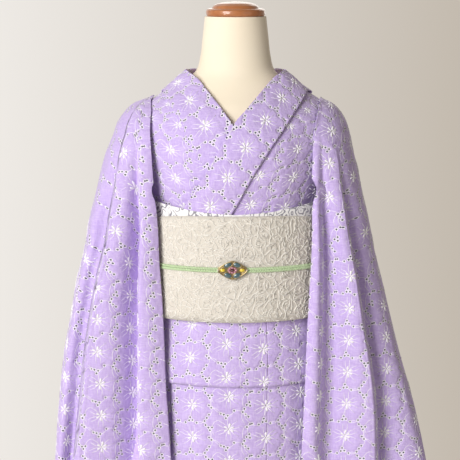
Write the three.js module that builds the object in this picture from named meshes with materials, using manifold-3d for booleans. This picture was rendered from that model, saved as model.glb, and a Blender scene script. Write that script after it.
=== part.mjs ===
import * as THREE from 'three';
import { mergeVertices } from 'three/addons/utils/BufferGeometryUtils.js';
import Module from 'manifold-3d';

// A kimono with its sash set, worn by a limbless dress form on a stand.
// Millimetres, +Z up, the wearer faces -Y, the origin is on the floor under the pole.

// Heights above the floor
const CAP_TOP = 1455;
const NECK_TOP = 1432;
const SEAM_HEIGHT = 1000;
const SASH_BOTTOM = 966;
const SASH_TOP = 1124;
const SASH_RISE = 9;
const BRAID_HEIGHT = 1050;
const TUCK_TOP = 984;
const TUCK_BOTTOM = 860;
const SKIRT_TOP = SEAM_HEIGHT - 0.4;
const HEM_HEIGHT = 45;
const FORM_BOTTOM = 792;

// Cloth and other thicknesses
const CLOTH = 1.4;
const COLLAR_CLOTH = 2;
const TUCK_CLOTH = 2.6;
const SASH_CLOTH = 4.2;
const SASH_INNER = 14.2;
const BRAID_WIDTH = 8;
const BRAID_THICK = 3.4;
const BRAID_GAP = 0.5;
const SEAM_GAP = 0.4;

// Sleeve: a strip folded at the shoulder, hanging from the armhole
const SLEEVE_ROWS = 22;
const SLEEVE_INNER_END = 715;
const SLEEVE_OUTER_END = 455;
const SLEEVE_CLOSED_GAP = 0.7;
const CUFF_LIP = 0.955;
const CUFF_TOP = 990;
const CUFF_BOTTOM = 760;

// Stand
const BASE_RADIUS = 175;
const BASE_THICK = 14;
const POLE_RADIUS = 16;

// The middle of every section lies a little behind the pole
const MIDDLE_Y = 6;
const RADIANS = Math.PI / 180;

// Inner face of the worn cloth: height, half width, depth in front, depth behind
const WORN = [
  [45, 150, 106, 112],
  [300, 152, 108, 114],
  [600, 156, 110, 118],
  [870, 160, 111, 121],
  [960, 152, 108, 112],
  [1000, 146, 105, 104],
  [1060, 144, 104, 100],
  [1125, 148, 108, 103],
  [1180, 160, 116, 108],
  [1220, 171, 116, 110],
  [1250, 174, 110, 107],
  [1270, 167, 102, 102],
  [1290, 149, 91, 95],
  [1304, 128, 81, 87],
  [1318, 106, 69, 78],
  [1332, 90, 57, 68],
  [1346, 76, 45, 56],
];

// Smooth surface of the dress form, in the same columns
const FORM = [
  [FORM_BOTTOM, 112, 78, 92],
  [800, 130, 90, 106],
  [850, 140, 98, 114],
  [900, 138, 100, 108],
  [968, 126, 95, 92],
  [1040, 118, 92, 85],
  [1100, 130, 99, 92],
  [1150, 148, 108, 99],
  [1200, 164, 109, 103],
  [1240, 170, 106, 103],
  [1262, 166, 98, 99],
  [1280, 155, 90, 94],
  [1297, 137, 83, 87],
  [1311, 115, 71, 78],
  [1326, 90, 60, 66],
  [1345, 64, 48, 56],
  [1368, 56, 44, 51],
  [1400, 52, 44, 48],
  [NECK_TOP, 48.5, 44, 46],
];

// Value of one column of a table at a height, on a smooth curve through its rows
function column(table, height, index) {
  const last = table.length - 1;
  if (height <= table[0][0]) return table[0][index];
  if (height >= table[last][0]) return table[last][index];
  let k = 0;
  while (height > table[k + 1][0]) k++;
  const slope = (n) => {
    const low = table[Math.max(0, n - 1)];
    const high = table[Math.min(last, n + 1)];
    return (high[index] - low[index]) / (high[0] - low[0]);
  };
  const span = table[k + 1][0] - table[k][0];
  const t = (height - table[k][0]) / span;
  const t2 = t * t;
  const t3 = t2 * t;
  return (2 * t3 - 3 * t2 + 1) * table[k][index] + (t3 - 2 * t2 + t) * span * slope(k)
    + (3 * t2 - 2 * t3) * table[k + 1][index] + (t3 - t2) * span * slope(k + 1);
}

const lerp = THREE.MathUtils.lerp;
const smooth = THREE.MathUtils.smoothstep;

// Point of a table's section: angle 0 is the left side (+X), -90 the front, 90 the back
function sectionPoint(table, angle, height) {
  const s = Math.sin(angle * RADIANS);
  const depth = column(table, height, s < 0 ? 2 : 3);
  const x = column(table, height, 1) * Math.cos(angle * RADIANS);
  return new THREE.Vector3(x, MIDDLE_Y + depth * s, height);
}

function wornNormal(angle, height) {
  const low = Math.max(WORN[0][0], height - 3);
  const up = sectionPoint(WORN, angle, height + 3).sub(sectionPoint(WORN, angle, low));
  const round = sectionPoint(WORN, angle + 2, height).sub(sectionPoint(WORN, angle - 2, height));
  return round.cross(up).normalize();
}

// Point of the worn surface, lifted outwards along its normal
function worn(angle, height, lift) {
  return sectionPoint(WORN, angle, height).addScaledVector(wornNormal(angle, height), lift);
}

// Angle in front at which the worn section reaches x
function frontAngle(x, height) {
  return -Math.acos(THREE.MathUtils.clamp(x / column(WORN, height, 1), -1, 1)) / RADIANS;
}

// Moves a point sideways until it stands clear of the worn surface by lift
function pushOut(point, lift) {
  const half = column(WORN, point.z, 1);
  const back = point.y - MIDDLE_Y;
  const depth = column(WORN, point.z, back < 0 ? 2 : 3);
  const angle = Math.atan2(back / depth, point.x / half);
  const flat = wornNormal(angle / RADIANS, point.z);
  const run = Math.max(0.35, Math.hypot(flat.x, flat.y));
  const radius = Math.hypot(half * Math.cos(angle), depth * Math.sin(angle));
  const share = Math.hypot(point.x / half, back / depth);
  const wanted = 1 + lift / (run * radius);
  if (share < wanted) {
    point.x *= wanted / share;
    point.y = MIDDLE_Y + back * wanted / share;
  }
  return point;
}

function meshFrom(positions, indices) {
  const geometry = new THREE.BufferGeometry();
  geometry.setAttribute('position', new THREE.Float32BufferAttribute(positions, 3));
  geometry.setIndex(indices);
  geometry.computeVertexNormals();
  return geometry;
}

// A wall of cloth over a grid of points. Rows climb and columns run anticlockwise seen from
// above, so that the wall gets its thickness on the outside. Cells can be left open.
function clothWall(rows, columns, place, thickness, open = () => false, loop = false) {
  const across = loop ? columns : columns + 1;
  const grid = [];
  for (let i = 0; i <= rows; i++) {
    for (let j = 0; j < across; j++) grid.push(place(i, j));
  }
  const at = (i, j) => i * across + (loop ? (j + across) % across : j);
  const positions = [];
  for (const point of grid) positions.push(point.x, point.y, point.z);
  for (let i = 0; i <= rows; i++) {
    for (let j = 0; j < across; j++) {
      const left = grid[at(i, loop ? j - 1 : Math.max(0, j - 1))];
      const right = grid[at(i, loop ? j + 1 : Math.min(columns, j + 1))];
      const below = grid[at(Math.max(0, i - 1), j)];
      const above = grid[at(Math.min(rows, i + 1), j)];
      const normal = right.clone().sub(left).cross(above.clone().sub(below)).normalize();
      const outer = grid[at(i, j)].clone().addScaledVector(normal, thickness);
      positions.push(outer.x, outer.y, outer.z);
    }
  }
  const total = grid.length;
  const faces = [];
  for (let i = 0; i < rows; i++) {
    for (let j = 0; j < columns; j++) {
      if (open(i, j)) continue;
      const [a, b, c, d] = [at(i, j), at(i, j + 1), at(i + 1, j + 1), at(i + 1, j)];
      faces.push([a, b, c], [a, c, d]);
    }
  }
  const edges = new Set();
  for (const f of faces) {
    for (let k = 0; k < 3; k++) edges.add(f[k] + '_' + f[(k + 1) % 3]);
  }
  const indices = [];
  for (const [a, b, c] of faces) {
    indices.push(a + total, b + total, c + total, a, c, b);
    for (const [p, q] of [[a, b], [b, c], [c, a]]) {
      if (!edges.has(q + '_' + p)) indices.push(p, q, q + total, p, q + total, p + total);
    }
  }
  return meshFrom(positions, indices);
}

// A closed solid through rings of points, each ring anticlockwise, from the lowest up
function ringSolid(rings) {
  const sides = rings[0].length;
  const positions = [];
  for (const point of rings.flat()) positions.push(point.x, point.y, point.z);
  const indices = [];
  for (let i = 0; i + 1 < rings.length; i++) {
    for (let j = 0; j < sides; j++) {
      const [a, b] = [i * sides + j, i * sides + (j + 1) % sides];
      indices.push(a, b, b + sides, a, b + sides, a + sides);
    }
  }
  for (const [ring, turn] of [[0, 1], [rings.length - 1, -1]]) {
    const centre = new THREE.Vector3();
    for (const point of rings[ring]) centre.addScaledVector(point, 1 / sides);
    const hub = positions.length / 3;
    positions.push(centre.x, centre.y, centre.z);
    for (let j = 0; j < sides; j++) {
      const [a, b] = [ring * sides + j, ring * sides + (j + 1) % sides];
      if (turn > 0) indices.push(b, a, hub);
      else indices.push(a, b, hub);
    }
  }
  return meshFrom(positions, indices);
}

// A closed loop of a section: spot(t) gives the middle, the outward and the upward half axes
function loopSolid(steps, sides, spot) {
  const positions = [];
  const indices = [];
  for (let i = 0; i < steps; i++) {
    const { middle, outward, upward } = spot(i / steps);
    for (let j = 0; j < sides; j++) {
      const angle = (j + 0.5) / sides * 2 * Math.PI;
      const [c, s] = [Math.cos(angle), Math.sin(angle)];
      const point = middle.clone().addScaledVector(outward, c).addScaledVector(upward, s);
      positions.push(point.x, point.y, point.z);
      const [a, b] = [i * sides + j, i * sides + (j + 1) % sides];
      const [c1, d1] = [((i + 1) % steps) * sides + (j + 1) % sides, ((i + 1) % steps) * sides + j];
      indices.push(a, d1, c1, a, c1, b);
    }
  }
  return meshFrom(positions, indices);
}

const part = new THREE.Group();

const FINISHES = {
  cotton: { color: 0xcdbbe8, roughness: 0.9 },
  sash: { color: 0xdcd6c8, roughness: 0.85 },
  white: { color: 0xf2f0ee, roughness: 0.85 },
  braid: { color: 0xbcd8a4, roughness: 0.7 },
  cream: { color: 0xf1e3c8, roughness: 0.75 },
  wood: { color: 0xb9703f, roughness: 0.4 },
  steel: { color: 0xb9bcc0, roughness: 0.35, metalness: 1 },
  bronze: { color: 0xa8854a, roughness: 0.4, metalness: 1 },
};

function add(name, geometry, finish) {
  const mesh = new THREE.Mesh(geometry, new THREE.MeshStandardMaterial(FINISHES[finish]));
  mesh.name = name;
  part.add(mesh);
  return mesh;
}

// Stand: a weighted round base and a straight pole into the form
function lathe(profile, sides) {
  const geometry = new THREE.LatheGeometry(profile.map(([r, z]) => new THREE.Vector2(r, z)), sides);
  return geometry.rotateX(Math.PI / 2);
}

add('stand_base', lathe([
  [0, 0], [BASE_RADIUS, 0], [BASE_RADIUS, 6], [BASE_RADIUS - 8, BASE_THICK], [22, BASE_THICK + 4],
  [22, BASE_THICK + 30], [0, BASE_THICK + 30],
], 32), 'steel');
add('stand_pole', lathe([
  [0, BASE_THICK + 30.3], [POLE_RADIUS, BASE_THICK + 30.3], [POLE_RADIUS, FORM_BOTTOM - 0.3],
  [0, FORM_BOTTOM - 0.3],
], 16), 'steel');

// Dress form: torso and neck in one smooth body without limbs, with a turned wooden neck cap
const FORM_SIDES = 30;
const FORM_HEIGHTS = [
  FORM_BOTTOM, 800, 840, 900, 968, 1040, 1100, 1150, 1200, 1240, 1262, 1280, 1297, 1304, 1311,
  1320, 1333, 1347, 1370, 1400, NECK_TOP,
];
add('form_torso', ringSolid(FORM_HEIGHTS.map((height) => {
  const ring = [];
  for (let j = 0; j < FORM_SIDES; j++) ring.push(sectionPoint(FORM, j / FORM_SIDES * 360, height));
  return ring;
})), 'cream');

const CAP_RIM = 47;
const capProfile = [
  [0, NECK_TOP + 0.3], [CAP_RIM - 2, NECK_TOP + 0.3], [CAP_RIM, NECK_TOP + 3], [CAP_RIM, NECK_TOP + 9],
  [CAP_RIM - 2, NECK_TOP + 12], [CAP_RIM - 8, NECK_TOP + 13], [CAP_RIM - 10, NECK_TOP + 16],
  [CAP_RIM - 17, NECK_TOP + 20], [CAP_RIM - 30, CAP_TOP - 1], [0, CAP_TOP],
];
add('form_cap', lathe(capProfile, 26), 'wood').position.y = MIDDLE_Y + 1;

// Collar edges in front, from the shoulder down: inner x and z, outer x and z, lift
const OVER_COLLAR = [
  [71, 1345, 111, 1313, 3.6],
  [58, 1336, 101, 1300, 3.2],
  [44, 1322, 88, 1284, 3.2],
  [29, 1305, 75, 1266, 5.4],
  [13, 1287, 62, 1249, 7.4],
  [-3, 1269, 50, 1233, 8.5],
  [-30, 1224, 24, 1193, 8.5],
  [-58, 1177, -2, 1144, 8.2],
  [-84, 1132, -28, 1100, 8.2],
];
const UNDER_COLLAR = [
  [-73, 1346, -112, 1315, 3.6],
  [-58, 1335, -103, 1301, 3.2],
  [-46, 1322, -92, 1285, 1.9],
  [-32, 1306, -82, 1270, 1.9],
  [-18, 1289, -74, 1252, 1.9],
  [-3, 1269, -64, 1233, 1.9],
  [20, 1234, -43, 1200, 1.9],
  [44, 1194, -18, 1162, 1.9],
  [66, 1156, 6, 1124, 1.9],
];
// Collar behind the neck, from the left shoulder to the middle: inner x, y, z, outer x, y, z
const NECK_COLLAR = [
  [68, 38, 1347, 106, 44, 1304],
  [53, 76, 1343, 80, 78, 1293],
  [28, 103, 1337, 42, 98, 1285],
  [0, 113, 1334, 0, 105, 1282],
];

function frontPoint(x, height, lift) {
  return worn(frontAngle(x, height), height, lift);
}

// Both edges of the collar along its whole length, over front first, then the neck
function collarEdges() {
  const rows = [];
  const front = ([ix, iz, ox, oz, lift]) => rows.push({
    inner: frontPoint(ix, iz, lift),
    outer: frontPoint(ox, oz, lift),
    lift,
  });
  const neck = ([ix, iy, iz, ox, oy, oz], side) => rows.push({
    inner: new THREE.Vector3(ix * side, iy, iz),
    outer: new THREE.Vector3(ox * side, oy, oz),
    lift: 3.2,
  });
  [...OVER_COLLAR].reverse().forEach(front);
  NECK_COLLAR.forEach((row) => neck(row, 1));
  NECK_COLLAR.slice(0, -1).reverse().forEach((row) => neck(row, -1));
  UNDER_COLLAR.forEach(front);
  return rows;
}

const COLLAR_STEPS = 44;
const COLLAR_ACROSS = 3;
const COLLAR_PUFF = 0.4;
function collarGeometry() {
  const rows = collarEdges();
  const innerCurve = new THREE.CatmullRomCurve3(rows.map((row) => row.inner));
  const outerCurve = new THREE.CatmullRomCurve3(rows.map((row) => row.outer));
  const lifts = new THREE.CatmullRomCurve3(rows.map((row) => new THREE.Vector3(row.lift, 0, 0)));
  return clothWall(COLLAR_ACROSS, COLLAR_STEPS, (i, j) => {
    const share = i / COLLAR_ACROSS;
    const t = j / COLLAR_STEPS;
    const point = outerCurve.getPoint(t).lerp(innerCurve.getPoint(t), share);
    return pushOut(point, lifts.getPoint(t).x + COLLAR_PUFF * Math.sin(share * Math.PI));
  }, COLLAR_CLOTH);
}
add('collar', collarGeometry(), 'cotton');

// Front edge of each body panel above the sash: height, x under the left collar, x under the right
const PANEL_EDGE = [
  [SEAM_HEIGHT, -86, 70],
  [1100, -36, 34],
  [1144, -10, 0],
  [1193, 16, -31],
  [1233, 42, -56],
  [1266, 67, -74],
  [1284, 80, -84],
  [1300, 93, -95],
  [1316, 103, -104],
];
// Back edge along the neck: height and angle
const PANEL_NECK = [
  [1286, 90],
  [1290, 74],
  [1297, 56],
  [1306, 34],
  [1312, 14],
  [1316, 3],
];
const PANEL_HEIGHTS = [
  SEAM_HEIGHT, 1045, 1085, 1125, 1155, 1185, 1213, 1237, 1256, 1272, 1286, 1292, 1298, 1304, 1310, 1316,
];
const PANEL_HALF = 8;
const ARMHOLE_BOTTOM = 1140;
const ARMHOLE_TOP = 1262;
const OVER_LIFT = 5.7;

// One body panel above the sash, from the front edge over the shoulder to the back seam
function panelGeometry(side) {
  const edgeColumn = side > 0 ? 1 : 2;
  const place = (i, j) => {
    const height = PANEL_HEIGHTS[i];
    const edge = frontAngle(side * column(PANEL_EDGE, height, edgeColumn), height);
    const back = column(PANEL_NECK, height, 1) - (height <= PANEL_NECK[0][0] ? 0.2 : 0);
    const share = side > 0 ? j : 2 * PANEL_HALF - j;
    const angle = share < PANEL_HALF
      ? lerp(edge, 0, share / PANEL_HALF)
      : lerp(0, back, share / PANEL_HALF - 1);
    const x = sectionPoint(WORN, angle, height).x;
    const front = angle < 0 && height < 1300;
    const lift = side > 0 && front ? OVER_LIFT * smooth(118 - x, 0, 50) * smooth(1290 - height, 0, 60) : 0;
    const point = worn(angle, height, lift);
    point.x *= side;
    return point;
  };
  const open = (i, j) => {
    const share = side > 0 ? j : 2 * PANEL_HALF - 1 - j;
    const inside = PANEL_HEIGHTS[i] >= ARMHOLE_BOTTOM - 20 && PANEL_HEIGHTS[i + 1] <= ARMHOLE_TOP;
    return inside && share === PANEL_HALF;
  };
  return clothWall(PANEL_HEIGHTS.length - 1, 2 * PANEL_HALF, place, CLOTH, open);
}
add('body_left_upper', panelGeometry(1), 'cotton');
add('body_right_upper', panelGeometry(-1), 'cotton');

// Sleeve edges by height, columns for the wearer's right and left sleeve: inner front edge x,
// outline x, then the free back edge x and y, which comes round to the front as it falls
const SLEEVE_EDGE = [
  [715, 101, 104, 300, 318, 104, -92],
  [761, 104, 106, 300, 318, 140, -80],
  [810, 107, 108, 300, 318, 166, -44],
  [860, 110, 110, 300, 318, 177, -8],
  [931, 112, 112, 300, 318, 179, 24],
  [1000, 115, 115, 300, 318, 173, 46],
  [1060, 119, 118, 300, 318, 160, 64],
  [1115, 121, 119, 300, 318, 150, 78],
  [1180, 127, 118, 300, 318, 142, 78],
  [1225, 130, 119, 300, 318, 138, 76],
  [1260, 132, 120, 300, 318, 134, 68],
  [1292, 131, 121, 300, 318, 130, 30],
  [1307, 127, 119, 300, 318, 127, 8],
];
const SLEEVE_OUTLINE = [
  [455, 297, 344],
  [600, 299, 331],
  [700, 296, 315],
  [804, 289, 293],
  [891, 280, 268],
  [950, 269, 253],
  [1007, 259, 239],
  [1061, 245, 225],
  [1107, 237, 216],
  [1152, 225, 205],
  [1190, 216, 197],
  [1217, 208, 190],
  [1245, 196, 184],
  [1265, 189, 178],
  [1278, 180, 170],
  [1289, 170, 162],
  [1296, 160, 152],
  [1303, 140, 136],
  [1308, 131, 123],
];
// Depth of the front edge and of the outline by height
const SLEEVE_DEPTH = [
  [455, -84, -30],
  [715, -96, -22],
  [860, -96, -12],
  [1000, -96, -4],
  [1115, -94, 2],
  [1180, -88, 6],
  [1225, -84, 8],
  [1260, -72, 8],
  [1292, -40, 8],
  [1307, 0, 8],
];
// Share of the front's width at which the long pleat overlaps, along the sleeve
const PLEAT_SHARE = [
  [0, 0.64, 0.54],
  [0.2, 0.61, 0.54],
  [0.4, 0.72, 0.58],
  [0.6, 0.77, 0.58],
  [0.8, 0.86, 0.54],
  [1, 0.88, 0.52],
];
const PLEAT_OVERLAP = 15;
const PLEAT_DEPTH = 5;
// Ridges and valleys of the front: share of the inner panel, depth for the right and left sleeve
const SLEEVE_WAVES = [
  [0, -2, -5],
  [0.12, -5, -3],
  [0.25, -6, 11],
  [0.4, 6, 6],
  [0.6, 20, -4],
  [0.8, 12, -7],
  [1, -4, -4],
];
const OUTER_WAVES = [
  [0, 6, 4],
  [0.35, 14, -2],
  [0.65, -2, 8],
  [1, 0, 0],
];
const INNER_COLUMNS = 7;
const OUTER_COLUMNS = 6;
const BACK_COLUMNS = 9;
const SLEEVE_TOP = { right: 1307, left: 1303 };
const SLEEVE_CLEAR = 3.3;
const SASH_CLEAR = 25;
const SKIRT_CLEAR = 11;

// How far the sleeve stays off the worn surface: more beside the sash and its braid
function sleeveClearance(height) {
  const sash = smooth(height, 925, 955) * (1 - smooth(height, 1165, 1200));
  const base = lerp(SKIRT_CLEAR, SLEEVE_CLEAR, smooth(height, 1165, 1200));
  return lerp(base, SASH_CLEAR, sash);
}

function sleeveGeometry(side) {
  const pick = side < 0 ? 1 : 2;
  const top = side < 0 ? SLEEVE_TOP.right : SLEEVE_TOP.left;
  const pleatColumns = 4;
  const front = INNER_COLUMNS + pleatColumns + OUTER_COLUMNS;
  const columns = front + BACK_COLUMNS;

  // Smooth front of one row: a share of its width gives x, y and z
  const frontAt = (fall, share) => {
    const zIn = lerp(top, SLEEVE_INNER_END, fall);
    const zOut = lerp(top, SLEEVE_OUTER_END, fall);
    const height = lerp(zIn, zOut, share);
    const xIn = column(SLEEVE_EDGE, zIn, pick);
    const xOut = column(SLEEVE_OUTLINE, zOut, pick) - CLOTH;
    const yIn = column(SLEEVE_DEPTH, zIn, 1);
    const yOut = column(SLEEVE_DEPTH, zOut, 2);
    const round = Math.sqrt(Math.max(0, 1 - share ** 2.6));
    const flat = lerp(round, lerp(1, 0.62, share), smooth(fall, 0.35, 0.95) * 0.8);
    const pleat = column(PLEAT_SHARE, fall, pick);
    const wave = share < pleat
      ? column(SLEEVE_WAVES, share / pleat, pick)
      : column(OUTER_WAVES, (share - pleat) / (1 - pleat), pick);
    const depth = smooth(fall, 0.05, 0.5);
    return new THREE.Vector3(
      lerp(xIn, xOut, share),
      lerp(yOut, yIn, flat) + wave * depth,
      height,
    );
  };

  const place = (i, j) => {
    const fall = (1 - i / SLEEVE_ROWS) ** 1.25;
    const pleat = column(PLEAT_SHARE, fall, pick);
    const made = smooth(fall, 0.08, 0.3) * (1 - smooth(fall, 0.74, 0.93));
    let point;
    let push = true;
    if (j <= INNER_COLUMNS) {
      point = frontAt(fall, pleat * j / INNER_COLUMNS);
    } else if (j < INNER_COLUMNS + pleatColumns) {
      const k = j - INNER_COLUMNS;
      const width = column(SLEEVE_OUTLINE, lerp(top, SLEEVE_OUTER_END, fall), pick)
        - column(SLEEVE_EDGE, lerp(top, SLEEVE_INNER_END, fall), pick);
      const spread = Math.min(0.05, 6 / width) * k;
      point = frontAt(fall, pleat + spread);
      const folded = [0, 1.5, -PLEAT_OVERLAP, -PLEAT_OVERLAP - 1.5][k];
      const deep = [0, 0.45, 0.75, 1.6][k] * PLEAT_DEPTH;
      const edge = frontAt(fall, pleat);
      point.x = lerp(point.x, edge.x + folded, made);
      point.y = lerp(point.y, edge.y + deep, made);
    } else if (j <= front) {
      const share = (j - INNER_COLUMNS - pleatColumns) / OUTER_COLUMNS;
      const width = column(SLEEVE_OUTLINE, lerp(top, SLEEVE_OUTER_END, fall), pick)
        - column(SLEEVE_EDGE, lerp(top, SLEEVE_INNER_END, fall), pick);
      const start = pleat + Math.min(0.05, 6 / width) * pleatColumns;
      point = frontAt(fall, lerp(start, 1, share));
      point.y += made * 2.2 * PLEAT_DEPTH * (1 - smooth(share, 0, 0.8));
    } else {
      const share = j === front + 1 ? CUFF_LIP : 1 - (j - front) / BACK_COLUMNS;
      const zIn = lerp(top, SLEEVE_INNER_END, fall);
      const near = frontAt(fall, share);
      const xBack = lerp(column(SLEEVE_EDGE, zIn, 5), column(SLEEVE_EDGE, zIn, pick), smooth(fall, 0.93, 1));
      const yBack = column(SLEEVE_EDGE, zIn, 6);
      const outer = frontAt(fall, 1);
      const round = Math.sqrt(Math.max(0, 1 - share ** 2.2));
      const wave = 9 * Math.sin(share * Math.PI * 3) * smooth(fall, 0.15, 0.6) * (1 - share);
      const free = new THREE.Vector3(lerp(xBack, outer.x, share), lerp(outer.y, yBack, round) + wave, near.z);
      const closed = near.clone();
      closed.y += SLEEVE_CLOSED_GAP;
      point = free.lerp(closed, smooth(fall, 0.9, 1) ** 1.5);
      push = fall < 0.97;
    }
    if (push || j === 0) pushOut(point, sleeveClearance(point.z));
    point.x *= side;
    return point;
  };

  const open = (i, j) => {
    const fall = (1 - (i + 0.5) / SLEEVE_ROWS) ** 1.25;
    const height = lerp(top, SLEEVE_OUTER_END, fall);
    return j === front && height < CUFF_TOP && height > CUFF_BOTTOM;
  };
  // The columns run from the front edge outwards, which is anticlockwise on the left side only
  const flip = (i, j) => place(i, side > 0 ? j : columns - j);
  const flipOpen = (i, j) => open(i, side > 0 ? j : columns - 1 - j);
  return clothWall(SLEEVE_ROWS, columns, flip, CLOTH, flipOpen);
}
add('sleeve_right', sleeveGeometry(-1), 'cotton');
add('sleeve_left', sleeveGeometry(1), 'cotton');

// A stretch of cloth round the lower body, between two angles and two heights
function wrapGeometry(from, to, bottom, top, lift, thickness, rows, columnWidth = 12) {
  const columns = Math.max(2, Math.round((to - from) / columnWidth));
  const trim = SEAM_GAP / 2 / (120 * RADIANS);
  return clothWall(rows, columns, (i, j) => {
    const angle = lerp(from + trim, to - trim, j / columns);
    const height = lerp(bottom, top, i / rows);
    return worn(angle, height, lift(angle, height));
  }, thickness);
}

// Angles of the seams round the skirt: side seams, overlap seams and free edges
const OKUMI_SEAM_OVER = -72;
const OVER_EDGE = -129;
const OKUMI_SEAM_UNDER = -98;
const UNDER_EDGE = -42;
const SKIRT_ROWS = 7;
const OVER_SKIRT = 2.4;

const overLift = (angle) => OVER_SKIRT * smooth(-angle, 2, 24);
const flush = () => 0;
const skirt = (name, from, to, lift) => add(
  name, wrapGeometry(from, to, HEM_HEIGHT, SKIRT_TOP, lift, CLOTH, SKIRT_ROWS), 'cotton');
skirt('skirt_back_left', 0, 90, flush);
skirt('skirt_back_right', 90, 180, flush);
skirt('skirt_front_under', -180, OKUMI_SEAM_UNDER, flush);
skirt('okumi_under', OKUMI_SEAM_UNDER, UNDER_EDGE, flush);
skirt('skirt_front_over', OKUMI_SEAM_OVER, 0, overLift);
skirt('okumi_over', OVER_EDGE, OKUMI_SEAM_OVER, overLift);

// The tuck: a doubled fold that hangs out below the sash, fuller at its lower edge
const TUCK_LIFT = 4.2;
const TUCK_FULL = 2.2;
const TUCK_OVER_EDGE = -150;
const tuckLift = (angle, height) => TUCK_LIFT + TUCK_FULL * smooth(TUCK_TOP - height, 0, 100);
const tuck = (name, from, to) => add(
  name, wrapGeometry(from, to, TUCK_BOTTOM, TUCK_TOP, tuckLift, TUCK_CLOTH, 4), 'cotton');
tuck('tuck_front_left', OKUMI_SEAM_OVER, 0);
tuck('tuck_okumi_left', TUCK_OVER_EDGE, OKUMI_SEAM_OVER);
tuck('tuck_front_right', -180, TUCK_OVER_EDGE);
tuck('tuck_back_left', 0, 90);
tuck('tuck_back_right', 90, 180);

// Level outward direction of the worn surface
function outwards(angle, height) {
  const normal = wornNormal(angle, height);
  normal.z = 0;
  return normal.normalize();
}

// Outer face of the sash, straight from its lower to its upper edge
function sashFace(angle, height, lift) {
  const point = sectionPoint(WORN, angle, SASH_BOTTOM);
  point.lerp(sectionPoint(WORN, angle, SASH_TOP + SASH_RISE), (height - SASH_BOTTOM) / (SASH_TOP - SASH_BOTTOM));
  const normal = outwards(angle, SEAM_HEIGHT);
  point.addScaledVector(normal, SASH_INNER + SASH_CLOTH + lift);
  point.z = height;
  return { point, normal };
}

// Sash: one wide firm band round the body
const SASH_ROWS = 3;
const SASH_COLUMNS = 40;
const sashTop = (angle) => SASH_TOP + SASH_RISE * smooth(-Math.sin(angle * RADIANS), 0.5, 1);
add('sash_band', clothWall(SASH_ROWS, SASH_COLUMNS, (i, j) => {
  const angle = j / SASH_COLUMNS * 360 - 90;
  return sashFace(angle, lerp(SASH_BOTTOM, sashTop(angle), i / SASH_ROWS), -SASH_CLOTH).point;
}, SASH_CLOTH, () => false, true), 'sash');

// Braid round the sash
const UP = new THREE.Vector3(0, 0, 1);
add('braid', loopSolid(SASH_COLUMNS, 8, (t) => {
  const { point, normal } = sashFace(t * 360 - 90, BRAID_HEIGHT, BRAID_THICK / 2 + BRAID_GAP);
  return {
    middle: point,
    outward: normal.clone().multiplyScalar(BRAID_THICK / 2),
    upward: UP.clone().multiplyScalar(BRAID_WIDTH / 2),
  };
}), 'braid');

// Bustle cloth: from the pad in the drum's top, round under the arms, into the sash in front.
// Degrees from the front, height, lift, half depth, half height
const AGE_TABLE = [
  [0, 1124, 12.9, 0.7, 10],
  [20, 1127, 12.9, 0.7, 10],
  [50, 1132, 12.8, 0.8, 12],
  [60, 1138, 12.6, 1.6, 12],
  [90, 1151, 15, 4, 15],
  [125, 1166, 17, 6, 16],
  [150, 1184, 26, 14, 18],
  [180, 1188, 28, 16, 19],
];
add('bustle_cloth', loopSolid(48, 8, (t) => {
  const turn = Math.abs(t * 360 - 180);
  const away = 180 - turn;
  const angle = t * 360 - 90;
  const height = column(AGE_TABLE, away, 1);
  const middle = worn(angle, height, column(AGE_TABLE, away, 2));
  return {
    middle,
    outward: outwards(angle, height).multiplyScalar(column(AGE_TABLE, away, 3)),
    upward: UP.clone().multiplyScalar(column(AGE_TABLE, away, 4)),
  };
}), 'white');

// Drum bow at the back: one stretch of sash over the pad, out, down and under, open at its ends
const DRUM_HALF = 148;
const DRUM_CLOTH = 3;
const DRUM_PROFILE = [
  [145.4, 1040], [145.2, 1000], [150, 970], [168, 957], [188, 962], [203, 985], [210, 1030], [211, 1090],
  [207, 1145], [198, 1184], [180, 1205], [160, 1212], [141, 1207.8],
];
function drumGeometry() {
  const line = new THREE.CatmullRomCurve3(DRUM_PROFILE.map(([y, z]) => new THREE.Vector3(0, y, z)));
  const steps = 26;
  const across = 4;
  return clothWall(steps, across, (i, j) => {
    const point = line.getPoint(i / steps);
    const x = lerp(DRUM_HALF, -DRUM_HALF, j / across);
    const crown = 3 * (1 - (x / DRUM_HALF) ** 2);
    return new THREE.Vector3(x, point.y + crown, point.z);
  }, DRUM_CLOTH);
}
add('sash_drum', drumGeometry(), 'sash');

// The sash's end passes through the drum, and the flap hangs below it
const END_THICK = 6;
const END_HEIGHT = 84;
const FLAP_THICK = 3;
const FLAP_BOTTOM = 888;
const braidBack = sashFace(90, BRAID_HEIGHT, BRAID_GAP + BRAID_THICK).point.y;
const endMiddle = braidBack + SEAM_GAP + END_THICK / 2;
const endBottom = BRAID_HEIGHT + 4 - END_HEIGHT / 2;
const flapHeight = endBottom - SEAM_GAP - FLAP_BOTTOM;
const flat = (width, depth, height) => new THREE.BoxGeometry(width, depth, height);
add('sash_end', flat(340, END_THICK, END_HEIGHT).translate(0, endMiddle, BRAID_HEIGHT + 4), 'sash');
add('sash_flap', flat(296, FLAP_THICK, flapHeight)
  .translate(0, endMiddle + 0.4, FLAP_BOTTOM + flapHeight / 2), 'sash');

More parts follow.
